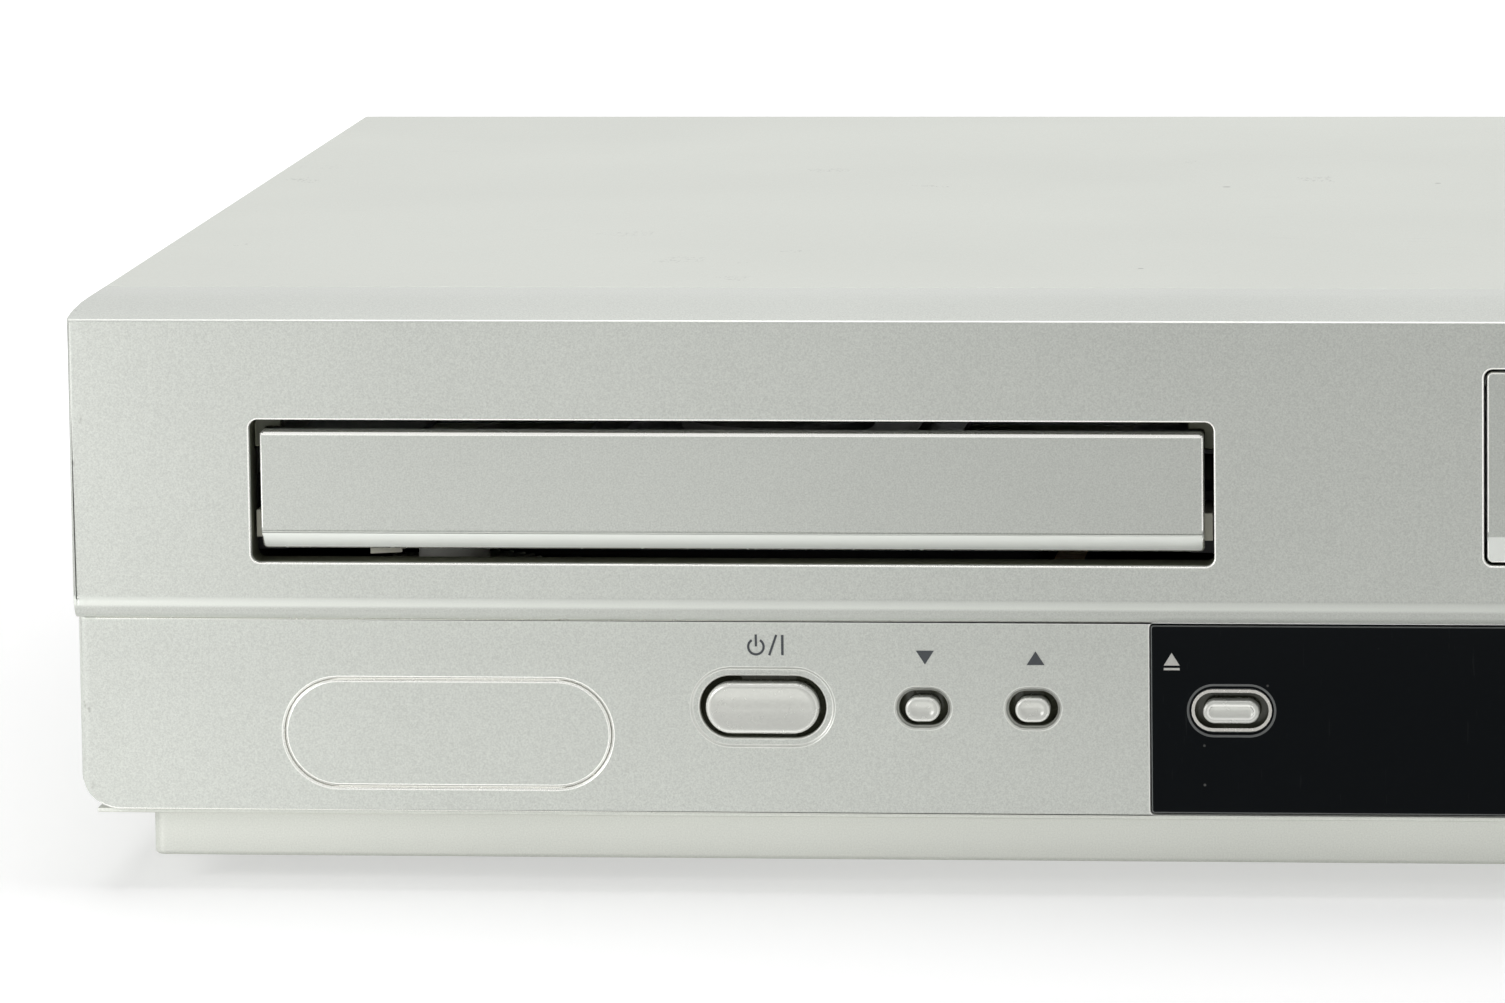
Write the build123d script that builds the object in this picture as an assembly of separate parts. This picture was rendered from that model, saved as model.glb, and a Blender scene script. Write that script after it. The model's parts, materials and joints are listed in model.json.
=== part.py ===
from build123d import *
from math import asin, atan, atan2, cos, degrees, pi, sin
import os

# Combined disc and video-cassette deck.  Sizes are in millimetres.
# Every piece is drawn with X to the right, Y to the rear from the front face, Z up from the
# underside of the feet, and is moved at the end so that Y is counted from the middle of the depth.

# ---- casing ----
case_width = 430.0
drawn_width = 430.0
case_height = 94.2
bezel_depth = 25.0
cover_depth = 262.7
seam_gap = 0.3
sheet = 0.8
wall = 2.5
fit_gap = 0.3
foot_height = 4.5
foot_radius = 9.0
foot_inset_x = 60.0
foot_inset_y = 48.0
skirt_inset_x = 10.8
skirt_set_back = 8.0
bezel_bottom = 13.1
bezel_step_low = 44.1
bezel_step_high = 47.6
front_top_edge = 92.0
face_set_back = 0.4
bead_height = 2.3
panel_set_back = 1.6
rib_thickness = 1.5
top_rib_x = (-189.3, -135.0, -8.0)
panel_side_inset = 0.5
corner_top = 3.0
crown_margin = 0.3
corner_bottom = 6.4
corner_plan = 1.6
tongue_length = 5.0
tongue_wall = 1.5
cover_side_inset = 1.0
pan_wall_height = 17.0
rear_recess = 0.5
rear_sheet = 1.0

# ---- drawer opening and door ----
drawer_x = -109.7
slot_width = 152.8
slot_height = 22.8
slot_bottom = 53.2
slot_corner = 1.4
corner_rib_width = 4.5
corner_rib_height = 5.1
corner_rib_thickness = 2.0
corner_rib_depth = 2.0
collar_wall = 1.8
collar_depth = 5.0
door_width = 149.5
door_height = 19.0
door_bottom = 55.2
door_crease = 2.8
door_thickness = 3.2
door_recess = 0.4
door_corner = 0.7
door_chamfer_depth = 2.0

# ---- tray ----
tray_width = 152.0
tray_length = 154.4
tray_bottom = 56.8
tray_top = 61.1
tray_floor = 58.0
tray_travel = 132.0
disc_radius = 60.8
small_disc_radius = 41.0
small_disc_step = 0.5
spindle_y = 70.0
tray_slot_width = 44.0
rack_offset = 56.0
rack_width = 4.0
rack_bottom = 54.0
rack_tooth = 2.2

# ---- loader ----
rail_gap = 0.6
loader_wall = 2.6
loader_front = 9.5
loader_front_low = 17.4
loader_rear = 196.0
loader_bottom = 36.0
loader_top = 64.0
deck_low = 40.0
deck_high = 42.0
ledge_width = 4.4
ledge_low = 54.0
traverse_gap_x = 50.0
traverse_gap_front = 46.0
traverse_gap_rear = 190.0
lug_length = 11.0
lug_width = 12.0
lug_thickness = 2.5
lug_front_y = 30.0
lug_rear_y = 175.0
damper_radius = 6.0
damper_height = 6.0
post_radius = 5.0
bridge_y_half = 21.0
bridge_sheet = 1.2

# ---- loader gears ----
rack_module = 1.0
wheel_module = 0.8
pinion_teeth = 14
wheel_teeth = 36
small_teeth = 12
gear_y = 21.0
gear_axle_radius = 1.5
axle_clearance = 0.06
pulley_radius = 13.0
motor_pulley_radius = 3.5
pulley_low = 43.0
pulley_high = 46.4
wheel_low = 47.0
wheel_high = 50.0
belt_thickness = 1.2
motor_offset_x = 34.0
motor_offset_y = 13.0
motor_radius = 10.0
motor_length = 16.0

# ---- traverse ----
traverse_half_width = 46.0
traverse_front = 51.0
traverse_rear = 184.0
traverse_low = 44.0
traverse_high = 48.0
traverse_window = 38.0
traverse_hinge_z = 46.0
spindle_motor_radius = 13.0
turntable_radius = 14.5
turntable_top = 59.4
cone_radius = 7.3
cone_top = 61.0
rod_radius = 1.5
rod_offset = 30.0
rod_z = 51.2
sled_front = 86.0
sled_length = 32.0
sled_low = 46.6
sled_high = 55.6
lens_radius = 4.2
lens_top = 57.6
sled_travel = 34.0
screw_offset = 35.0
screw_radius = 1.4
sled_motor_radius = 3.0
sled_motor_length = 15.8

# ---- clamp ----
puck_neck_radius = 11.0
puck_flange_radius = 16.0
puck_low = 61.4
puck_gap = 0.5

# ---- cassette side ----
bay_inset = 109.0
bay_width = 194.0
bay_height = 31.0
bay_bottom = 53.5
flap_gap = 0.45
flap_thickness = 2.4
flap_recess = 0.4
flap_pin_radius = 1.2
flap_pin_y = 5.0
flap_pin_drop = 2.0
cassette_width = 188.0
cassette_height = 25.0
holder_gap = 1.0
holder_front = 37.5
holder_depth = 74.0
holder_low = 57.0
holder_drop = 22.0
carriage_travel = 22.0
slide_gap = 0.4
deck_plate_top = 23.2
deck_plate = 1.2
deck_front = 34.0
deck_rear = 214.0
reel_spacing = 92.5
reel_y = 82.0
reel_radius = 20.0
drum_radius = 31.0
drum_y = 172.0
drum_tilt = 5.0
capstan_offset = 56.0
capstan_y = 150.0
flywheel_radius = 24.0
pinch_offset = 72.0
pinch_y = 166.0
pinch_reach = 16.0
pinch_rest_angle = 290.0

# ---- keys on the lower panel ----
key_z = 30.2
eject_drop = 0.1
dish_depth = 0.3
large_hole_width = 20.1
large_hole_height = 9.9
large_cap_width = 18.1
large_cap_height = 8.1
large_dish = 1.3
small_hole_width = 7.8
small_hole_height = 5.6
small_cap_width = 5.5
small_cap_height = 3.9
small_dish = 0.5
eject_hole_width = 12.3
eject_hole_height = 6.7
eject_cap_width = 8.9
eject_cap_height = 3.7
eject_dish = 0.7
eject_dish_depth = 0.5
cap_proud = 1.4
cap_hollow = 0.35
cap_rim = 0.8
key_travel = 0.7
key_flange = 1.2
large_key_x = 105.0
inner_key_x = 62.1
outer_key_x = 79.5
eject_key_x = 30.75
stop_key_x = 130.5
record_key_x = 147.9
badge_middle = 155.3
badge_z = 25.7
badge_width = 52.8
badge_height = 17.8
badge_line = 0.45
badge_depth = 0.35
window_half_width = 43.6
window_low = 13.5
window_high = 43.8
window_gap = 0.15
window_thickness = 2.0
window_ledge = 2.2
socket_inset = 47.0
socket_pitch = 14.0
socket_count = 3
socket_hole_radius = 5.2
board_y = 14.0
board_thickness = 1.6
board_low = 17.0
board_high = 41.0
board_boss_x = (-142.0, -92.0, -49.0, 49.0, 92.0, 159.0)
board_left = -150.0
board_inset = 10.0
tube_half_width = 24.0
tube_low = 20.0
tube_high = 39.0
board_boss_z = 37.0
board_boss_radius = 2.4
switch_size = 6.0
switch_body = 1.4

# ---- back ----
scart_width = 48.0
scart_height = 15.0
scart_depth = 11.0
scart_from_board = (76.0, 132.0)
scart_z = 46.0
aerial_inset = 31.0
aerial_z = (38.0, 62.0)
aerial_radius = 4.6
aerial_length = 9.0
phono_from_board = (12.0, 26.0, 40.0)
phono_z = (32.0, 46.0)
phono_radius = 4.15
phono_reach = 8.0
inlet_inset = 45.0
inlet_z = 40.0
inlet_width = 22.0
inlet_height = 13.0
inlet_depth = 14.0
back_slots = 12
back_slot_start = 58.0
back_slot_width = 2.6
back_slot_height = 26.0
back_slot_pitch = 6.0
side_slots = 14
side_slot_length = 22.0
side_slot_width = 2.4
side_slot_pitch = 6.0
screw_shank = 1.5
screw_head = 3.2
screw_head_height = 1.6
side_screw_y = (60.0, 250.0)
side_screw_rise = 9.0
rear_screw_z = 22.0
rear_screw_inset = 12.0
rear_screw_x = (-60.0, 48.0)

# ---- boards ----
board_post_top = 16.0
disc_board_low = 12.02
disc_board_half = 66.0
disc_board_y = (48.0, 184.0)
disc_board_post_x = 60.0
disc_board_post_y = (56.0, 176.0)
disc_plug_y = (172.0, 177.0)
power_board_inset = 17.0
power_board_width = 128.0
power_board_y = (206.0, 280.0)
power_post_y = (214.0, 274.0)
main_board_gap = 14.0
main_board_inset = 15.0
main_board_y = (220.0, 280.0)
main_post_y = (224.0, 274.0)
pan_slot_x = -30.0
pan_slot_y = 226.0

# ---- worked out from the above ----
half_width = case_width / 2
spread = case_width / drawn_width
panel_half_width = half_width - panel_side_inset
cover_half_width = half_width - cover_side_inset
cover_front = bezel_depth + seam_gap
cover_rear = cover_front + cover_depth
rear_face = cover_rear - rear_recess
rear_inside = rear_face - rear_sheet
pan_half_width = cover_half_width - sheet - fit_gap
skirt_half_width = half_width - skirt_inset_x
flange_top = bezel_bottom - fit_gap
flange_low = flange_top - sheet
pan_floor = foot_height + sheet
depth_reach = rear_face + aerial_length
centre_y = depth_reach / 2
door_set_back = face_set_back + door_recess
flap_set_back = face_set_back + flap_recess
slot_z = slot_bottom + slot_height / 2
bay_x = half_width - bay_inset
bay_z = bay_bottom + bay_height / 2
panel_y = panel_set_back
rail_half = tray_width / 2 + rail_gap
loader_half = rail_half + loader_wall
tray_front = door_set_back + door_thickness
tray_rear = tray_front + tray_length
pinion_radius = pinion_teeth * rack_module / 2
wheel_radius = wheel_teeth * wheel_module / 2
small_radius = small_teeth * wheel_module / 2
gear_x = drawer_x - rack_offset + rack_width / 2 + pinion_radius
pulley_x = gear_x + wheel_radius + small_radius
motor_x = pulley_x + motor_offset_x
motor_y = gear_y + motor_offset_y
sled_motor_front = traverse_rear - 18.7 - sled_motor_length
deck_low_z = deck_plate_top - deck_plate
holder_inner = cassette_width / 2 + holder_gap
holder_half = holder_inner + sheet
carriage_inner = holder_half + slide_gap
carriage_half = carriage_inner + sheet
guide_inner = carriage_half + slide_gap
guide_half = guide_inner + bridge_sheet
holder_high = holder_low + cassette_height + 2 * holder_gap
flap_pin_z = bay_bottom + bay_height - flap_pin_drop
flap_half = bay_width / 2 - flap_gap
power_x = -large_key_x * spread
programme_down_x = -outer_key_x * spread
programme_up_x = -inner_key_x * spread
disc_eject_x = -eject_key_x
tape_eject_x = eject_key_x
rewind_x = inner_key_x * spread
forward_x = outer_key_x * spread
play_x = large_key_x * spread
stop_x = stop_key_x * spread
record_x = record_key_x * spread
badge_x = -badge_middle * spread
eject_z = key_z - eject_drop
socket_start_x = half_width - socket_inset
power_board_left = -half_width + power_board_inset
power_board_right = power_board_left + power_board_width
main_board_left = power_board_right + main_board_gap
main_board_right = half_width - main_board_inset
board_deck = board_post_top + board_thickness + 0.04
phono_x = [main_board_left + step for step in phono_from_board]
scart_x = [main_board_left + step for step in scart_from_board]
aerial_x = half_width - aerial_inset
inlet_x = -half_width + inlet_inset
side_screw_z = flange_top + side_screw_rise
key_flange_front = panel_y + wall + fit_gap
switch_front = board_y - switch_body
stem_end = switch_front - key_travel - fit_gap / 3


# ---- drawing helpers ----
def block(x, y, z):
    """A box between the low and high values of each axis."""
    size = [pair[1] - pair[0] for pair in (x, y, z)]
    middle = [(pair[0] + pair[1]) / 2 for pair in (x, y, z)]
    return Pos(*middle) * Box(*size)


def disc(x, y, radius, z):
    """An upright cylinder between two heights."""
    return Pos(x, y, (z[0] + z[1]) / 2) * Cylinder(radius, z[1] - z[0])


def ring(x, y, outer, inner, z):
    """An upright tube between two heights."""
    return disc(x, y, outer, z) - disc(x, y, inner, z)


def rod_along_y(x, z, radius, y):
    """A cylinder that lies along Y."""
    return Pos(x, (y[0] + y[1]) / 2, z) * Rot(90, 0, 0) * Cylinder(radius, y[1] - y[0])


def rod_along_x(y, z, radius, x):
    """A cylinder that lies along X."""
    return Pos((x[0] + x[1]) / 2, y, z) * Rot(0, 90, 0) * Cylinder(radius, x[1] - x[0])


def forwards(x, z, y, outline, taper=0.0):
    """An outline seen from the front, drawn as a prism from its front face at y[0] to y[1]."""
    solid = extrude(outline, y[1] - y[0], taper=taper)
    return Pos(x, y[0], z) * Rot(-90, 0, 0) * solid


def pill(x, z, width, height, y, taper=0.0):
    """A round-ended bar whose outline faces the front."""
    return forwards(x, z, y, SlotOverall(width, height), taper)


def panel(x, z, width, height, radius, y, taper=0.0):
    """A round-cornered plate whose outline faces the front."""
    return forwards(x, z, y, RectangleRounded(width, height, radius), taper)


def side_profile(points, x):
    """A closed outline in Y and Z, carried along X."""
    outline = make_face(Polyline(*points, close=True))
    return Pos(x[0], 0, 0) * extrude(Plane.YZ * outline, x[1] - x[0])


def gear(teeth, module, z, x, y, bore, turn=0.0):
    """A spur gear whose thin teeth leave clear backlash with their mate."""
    pitch = teeth * module / 2
    tip = pitch + 0.8 * module
    root = pitch - 1.15 * module
    points = []
    for number in range(teeth):
        middle = turn + 2 * pi * number / teeth
        for radius, half in ((root, 0.95), (tip, 0.30), (tip, -0.30), (root, -0.95)):
            angle = middle - half * module / radius
            points.append((x + radius * cos(angle), y + radius * sin(angle)))
    body = extrude(make_face(Polyline(*points, close=True)), z[1] - z[0])
    return Pos(0, 0, z[0]) * body - disc(x, y, bore, z)


# ---- casing ----
def bezel_upper():
    """The proud upper part: crowned top, bead along its under-edge, round corners in front and plan."""
    low = bezel_step_low
    front = face_set_back
    crown = front_top_edge
    top = case_height
    edge = 0.6
    peak = low + bead_height
    line = Line((bezel_depth, low), (panel_y + 0.4, low))
    turn = ThreePointArc(line @ 1, (0.42, low + 0.85), (0, peak))
    bead = ThreePointArc(turn @ 1, (0.1, (peak + bezel_step_high) / 2 + 0.1), (front, bezel_step_high))
    face = Line(bead @ 1, (front, crown - edge))
    rim = ThreePointArc(face @ 1, (front + 0.18, crown - 0.18), (front + edge, crown))
    arch = ThreePointArc(rim @ 1, (8.0, crown + 1.55), (18.0, top))
    roof = Line(arch @ 1, (bezel_depth, top))
    back = Line(roof @ 1, line @ 0)
    outline = make_face([line, turn, bead, face, rim, arch, roof, back])
    return Pos(-half_width, 0, 0) * extrude(Plane.YZ * outline, case_width)


def bezel_front_outline():
    """The outline of the whole bezel seen from the front."""
    top = case_height + crown_margin
    middle = (bezel_step_high + top) / 2
    upper = panel(0, middle, case_width, top - bezel_step_high, corner_top, (-1, bezel_depth + 1))
    upper += block((-half_width, half_width), (-1, bezel_depth + 1), (bezel_step_high, middle))
    waist = bezel_step_high - bezel_step_low
    for side in (-1, 1):
        rim = Polyline(
            (0, bezel_step_low), (side * panel_half_width, bezel_step_low),
            (side * (half_width - 0.15), bezel_step_high - 1.2), (side * half_width, bezel_step_high),
            (0, bezel_step_high), close=True)
        upper += forwards(0, 0, (-1, bezel_depth + 1), mirror(make_face(rim), Plane.XZ))
    height = bezel_step_low - bezel_bottom
    centre = bezel_bottom + height / 2
    lower = panel(0, centre, 2 * panel_half_width, height, corner_bottom, (-1, bezel_depth + 1))
    lower += block((-panel_half_width, panel_half_width), (-1, bezel_depth + 1),
                   (centre, bezel_step_low))
    return upper + lower


def plan_corners(half, front):
    """A plan outline with its two front corners rounded, as tall as the case."""
    plan = RectangleRounded(2 * half, 2 * bezel_depth + 40, corner_plan)
    return Pos(0, front + bezel_depth + 20, 0) * extrude(plan, case_height + 1)


def key_holes():
    """The holes of the keys that stand in the silver lower panel, each in a shallow recess."""
    cut = []
    through = (panel_y - 1, panel_y + wall + 1)
    recess = (panel_y - 1, panel_y + dish_depth)
    for x in (power_x, play_x):
        cut.append(pill(x, key_z, large_hole_width, large_hole_height, through))
        cut.append(pill(x, key_z, large_hole_width + 2 * large_dish,
                        large_hole_height + 2 * large_dish, recess))
    for x in (programme_down_x, programme_up_x, rewind_x, forward_x, stop_x, record_x):
        cut.append(pill(x, key_z, small_hole_width, small_hole_height, through))
        cut.append(pill(x, key_z, small_hole_width + 2 * small_dish,
                        small_hole_height + 2 * small_dish, recess))
    return cut


def corner_ribs():
    """The L-shaped ribs that stand behind the two upper corners of the drawer opening."""
    y = (wall + collar_depth - corner_rib_depth, wall + collar_depth)
    high = slot_bottom + slot_height + 0.1
    ribs = []
    for side in (-1, 1):
        edge = drawer_x + side * (slot_width / 2 + 0.1)
        inner = edge - side * corner_rib_width
        ribs.append(block((min(edge, inner), max(edge, inner)), y,
                          (high - corner_rib_thickness, high)))
        narrow = edge - side * corner_rib_thickness
        ribs.append(block((min(edge, narrow), max(edge, narrow)), y, (high - corner_rib_height, high)))
    return ribs


def front_bezel():
    upper = bezel_upper() & plan_corners(half_width, 0)
    lower = block((-panel_half_width, panel_half_width), (panel_y, bezel_depth),
                  (bezel_bottom, bezel_step_low)) & plan_corners(panel_half_width, panel_y)
    shell = (upper + lower) & bezel_front_outline()
    inside = face_set_back + wall
    hollow = side_profile(
        [(inside, bezel_step_high + wall), (inside, front_top_edge - wall),
         (bezel_depth + 1, case_height - wall), (bezel_depth + 1, bezel_step_high - 4),
         (panel_y + wall, bezel_step_high - 4), (panel_y + wall, bezel_step_high + wall)],
        (-half_width + wall, half_width - wall))
    hollow += block((-panel_half_width + wall, panel_half_width - wall),
                    (panel_y + wall, bezel_depth + 1), (bezel_bottom + wall, bezel_step_high))
    shell -= hollow
    shell += bezel_tongue()
    collar = panel(drawer_x, slot_z, slot_width + 2 * collar_wall, slot_height + 2 * collar_wall,
                   slot_corner + collar_wall, (wall, wall + collar_depth))
    shell += collar
    shell -= panel(drawer_x, slot_z, slot_width, slot_height, slot_corner,
                   (-1, wall + collar_depth + 1))
    for rib in corner_ribs():
        shell += rib
    shell -= panel(bay_x, bay_z, bay_width, bay_height, slot_corner, (-1, inside + 1))
    for side in (-1, 1):
        shell += flap_boss(side)
    for cut in key_holes():
        shell -= cut
    shell -= badge_groove()
    window = (window_low + window_high) / 2
    height = window_high - window_low
    recess = (panel_y - 1, panel_y + window_thickness)
    shell -= panel(0, window, 2 * window_half_width, height, 0.6, recess)
    shell -= panel(0, window, 2 * (window_half_width - window_ledge), height - 2 * window_ledge,
                   0.6, (panel_y, panel_y + wall + 1))
    for number in range(socket_count):
        x = socket_start_x + number * socket_pitch
        shell -= rod_along_y(x, key_z, socket_hole_radius, (panel_y - 1, panel_y + wall + 1))
    for place in board_boss_x:
        shell += rod_along_y(place * spread, board_boss_z, board_boss_radius,
                             (panel_y + wall - 0.2, board_y - 0.02))
    for place in top_rib_x:
        x = place * spread
        shell += block((x, x + rib_thickness), (inside - 0.2, bezel_depth - 2),
                       (case_height - 9, case_height - wall + 0.4))
    return shell


def bezel_tongue():
    """The lip that the cover slides over, across the top and down both sides."""
    half = cover_half_width - sheet - fit_gap
    top = case_height - sheet - fit_gap
    reach = (bezel_depth - 4, bezel_depth + tongue_length)
    low = bezel_bottom + pan_wall_height + 2
    lip = block((-half, half), reach, (low, top))
    lip -= block((-half + tongue_wall, half - tongue_wall),
                 (reach[0] - 1, reach[1] + 1), (low - 1, top - tongue_wall))
    return lip


def flap_boss(side):
    """The bearing in which a pin of the cassette flap turns."""
    inner = bay_x + side * (bay_width / 2 + 0.6)
    outer = inner + side * 5
    x = (min(inner, outer), max(inner, outer))
    boss = block(x, (wall, flap_pin_y + 3), (flap_pin_z - 3, flap_pin_z + 3))
    return boss - rod_along_x(flap_pin_y, flap_pin_z, flap_pin_radius + axle_clearance,
                              (x[0] - 1, x[1] + 1))


def badge_groove():
    """The fine pill-shaped line round the bare badge place."""
    y = (panel_y - 0.5, panel_y + badge_depth)
    outer = pill(badge_x, badge_z, badge_width, badge_height, y)
    inner = pill(badge_x, badge_z, badge_width - 2 * badge_line, badge_height - 2 * badge_line, y)
    return outer - inner


def display_window():
    window = (window_low + window_high) / 2
    height = window_high - window_low - 2 * window_gap
    front = panel_y - 0.1
    plate = panel(0, window, 2 * (window_half_width - window_gap), height, 0.5,
                  (front, panel_y + window_thickness - 0.1))
    angle = degrees(atan(eject_dish / eject_dish_depth))
    for x in (disc_eject_x, tape_eject_x):
        plate -= pill(x, eject_z, eject_hole_width, eject_hole_height, (front - 1, panel_y + 4))
        plate -= pill(x, eject_z, eject_hole_width + 2 * eject_dish,
                      eject_hole_height + 2 * eject_dish, (front, front + eject_dish_depth), angle)
    return plate


def key(x, z, width, height, hole_width, hole_height, behind, crown):
    """A moulded key: crowned cap in its hole, flange behind the panel, and a stem to its switch."""
    front = panel_y - cap_proud
    cap = pill(x, z, width, height, (front, behind + 0.5))
    rims = cap.edges().filter_by_position(Axis.Y, front - 0.01, front + 0.01)
    cap = fillet(rims, crown) - cap_dish(x, z, width, height, front)
    flange = pill(x, z, hole_width + 2 * key_flange, hole_height + 2 * key_flange,
                  (behind, behind + 1.0))
    stem = rod_along_y(x, z, 1.4, (behind + 0.9, stem_end))
    return cap + flange + stem


def cap_dish(x, z, width, height, front):
    """The shallow hollow for the finger: a fat capsule sunk into the face of the cap."""
    half = height / 2 - cap_rim
    radius = half * half / (2 * cap_hollow) + cap_hollow / 2
    y = front + cap_hollow - radius
    reach = (width - height) / 2
    hollow = rod_along_x(y, z, radius, (x - reach, x + reach))
    for side in (-1, 1):
        hollow += Pos(x + side * reach, y, z) * Sphere(radius)
    return hollow


def panel_key(x, large):
    if large:
        return key(x, key_z, large_cap_width, large_cap_height, large_hole_width,
                   large_hole_height, key_flange_front, 0.7)
    return key(x, key_z, small_cap_width, small_cap_height, small_hole_width,
               small_hole_height, key_flange_front, 0.5)


def eject_key(x):
    return key(x, eject_z, eject_cap_width, eject_cap_height, eject_hole_width,
               eject_hole_height, key_flange_front, 0.5)


def top_cover():
    half = cover_half_width
    low = flange_top + fit_gap
    shape = block((-half, half), (cover_front, cover_rear), (low, case_height))
    folds = shape.edges().filter_by(Axis.Y).group_by(Axis.Z)[-1]
    shape = fillet(folds, 1.0)
    room = block((-half + sheet, half - sheet), (cover_front - 1, cover_rear + 1),
                 (low - 1, case_height - sheet))
    folds = room.edges().filter_by(Axis.Y).group_by(Axis.Z)[-1]
    shape -= fillet(folds, 0.4)
    for number in range(side_slots):
        y = 120.0 + number * side_slot_pitch
        shape -= block((-half - 1, half + 1), (y, y + side_slot_width),
                       (case_height - 18 - side_slot_length, case_height - 18))
    for y in side_screw_y:
        shape -= rod_along_x(y, side_screw_z, screw_shank + 0.3, (-half - 1, half + 1))
    return shape


def base_pan():
    """A pressed pan: deep floor, rim that carries the bezel and cover, and turned-up side walls."""
    front = skirt_set_back
    rear = rear_inside - fit_gap
    skirt = block((-skirt_half_width, skirt_half_width), (front, rear - 6), (foot_height, flange_top))
    corners = skirt.edges().filter_by(Axis.Z)
    skirt = fillet(corners, 2.0)
    skirt = fillet(skirt.faces().sort_by(Axis.Z)[0].edges(), 0.7)
    rim = block((-panel_half_width + 2, panel_half_width - 2), (panel_y + 3, bezel_depth + 5),
                (flange_low, flange_top))
    rim += block((-pan_half_width, pan_half_width), (bezel_depth + 5, rear), (flange_low, flange_top))
    pan = skirt + rim
    room = block((-skirt_half_width + sheet, skirt_half_width - sheet),
                 (front + sheet, rear - 6 - sheet),
                 (pan_floor, flange_top + 1))
    pan -= fillet(room.edges().filter_by(Axis.Z), 1.2)
    for side in (-1, 1):
        outer = side * pan_half_width
        inner = outer - side * sheet
        side_wall = block((min(outer, inner), max(outer, inner)), (bezel_depth + 6, rear),
                          (flange_low, flange_low + pan_wall_height))
        for y in side_screw_y:
            side_wall -= rod_along_x(y, side_screw_z, screw_shank - 0.2,
                                     (min(outer, inner) - 1, max(outer, inner) + 1))
        pan += side_wall
    for x, z in rear_screws():
        tab = block((x - 3.3, x + 3.3), (rear - sheet, rear), (flange_low, z + 5))
        pan += tab - rod_along_y(x, z, screw_shank + 0.1, (rear - 2, rear + 1))
    for x, y in loader_posts():
        pan += disc(x, y, post_radius, (pan_floor - 0.1, loader_bottom - damper_height - 0.05))
    for x, y in deck_posts():
        pan += disc(x, y, post_radius - 1, (pan_floor - 0.1, deck_low_z))
    for x, y, top in board_posts():
        pan += disc(x, y, 2.6, (pan_floor - 0.1, top))
    for column in range(8):
        for row in range(3):
            x = pan_slot_x + column * 9.0
            y = pan_slot_y + row * 14.0
            pan -= block((x, x + 2.4), (y, y + 9.0), (foot_height - 1, pan_floor + 1))
    return pan


def loader_posts():
    reach = loader_half + lug_length - lug_width / 2
    return [(drawer_x + side * reach, y) for side in (-1, 1) for y in (lug_front_y, lug_rear_y)]


def deck_posts():
    reach = guide_half - 8
    return [(bay_x + side * reach, y) for side in (-1, 1) for y in (deck_front + 6, deck_rear - 8)]


def board_posts():
    """Posts under the disc board, the power board and the main board."""
    posts = [(drawer_x + side * disc_board_post_x, y, disc_board_low - 0.02)
             for side in (-1, 1) for y in disc_board_post_y]
    posts += [(x, y, board_post_top) for x in (power_board_left + 6, power_board_right - 6)
              for y in power_post_y]
    posts += [(x, y, board_post_top) for x in (main_board_left + 6, main_board_right - 10)
              for y in main_post_y]
    return posts


def feet():
    bodies = []
    for side in (-1, 1):
        for y in (foot_inset_y, rear_face - foot_inset_y):
            foot = disc(side * (half_width - foot_inset_x), y, foot_radius, (0, foot_height))
            foot = chamfer(foot.faces().sort_by(Axis.Z)[0].edges(), 0.8)
            bodies.append(foot)
    return Compound(children=bodies)


def rear_panel():
    top = case_height - sheet - fit_gap
    half = cover_half_width - sheet - fit_gap
    y = (rear_inside, rear_face)
    plate = block((-half, half), y, (flange_low, top))
    cut = (rear_inside - 1, rear_face + 1)
    for x in scart_x:
        plate -= panel(x, scart_z, scart_width + 0.6, scart_height + 0.6, 1.0, cut)
    for z in aerial_z:
        plate -= rod_along_y(aerial_x, z, aerial_radius + fit_gap, cut)
    for x in phono_x:
        for z in phono_z:
            plate -= rod_along_y(x, z, phono_radius + fit_gap, cut)
    plate -= panel(inlet_x, inlet_z, inlet_width + 0.6, inlet_height + 0.6, 2.0, cut)
    for number in range(back_slots):
        x = power_board_left + back_slot_start + number * back_slot_pitch
        plate -= block((x, x + back_slot_width), cut, (case_height - 12 - back_slot_height,
                                                       case_height - 12))
    plate += block((-half + 20, half - 20), (rear_inside - 7, rear_inside + 0.2),
                   (top - sheet, top))
    for x, z in rear_screws():
        plate -= rod_along_y(x, z, screw_shank + 0.2, cut)
    return plate


def rear_screws():
    outer = half_width - rear_screw_inset
    return [(x, rear_screw_z) for x in (-outer, *rear_screw_x, outer)]


def case_screws():
    """Two screws in each side of the cover and four along the foot of the rear panel."""
    bodies = []
    half = cover_half_width
    for side in (-1, 1):
        head = sorted((side * (half + 0.02), side * (half + screw_head_height)))
        shank = sorted((side * (half - 5), side * (half + 0.1)))
        for y in side_screw_y:
            screw = rod_along_x(y, side_screw_z, screw_head, head)
            screw += rod_along_x(y, side_screw_z, screw_shank - 0.3, shank)
            bodies.append(screw)
    for x, z in rear_screws():
        screw = rod_along_y(x, z, screw_head, (rear_face + 0.02, rear_face + screw_head_height))
        screw += rod_along_y(x, z, screw_shank, (rear_face - 6, rear_face + 0.1))
        bodies.append(screw)
    return Compound(children=bodies)


# ---- disc side ----
def drawer_door():
    low = door_bottom
    high = low + door_height
    crease = low + door_crease
    front = door_set_back
    back = front + door_thickness
    profile = [(back, low), (front + door_chamfer_depth, low), (front + 0.25, crease - 0.15),
               (front + 0.25, crease + 0.1), (front, crease + 0.2), (front, high - 0.4),
               (front + 0.4, high), (back, high)]
    door = side_profile(profile, (drawer_x - door_width / 2, drawer_x + door_width / 2))
    outline = panel(drawer_x, (low + high) / 2, door_width, door_height, door_corner,
                    (front - 1, back + 1))
    return door & outline


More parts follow.
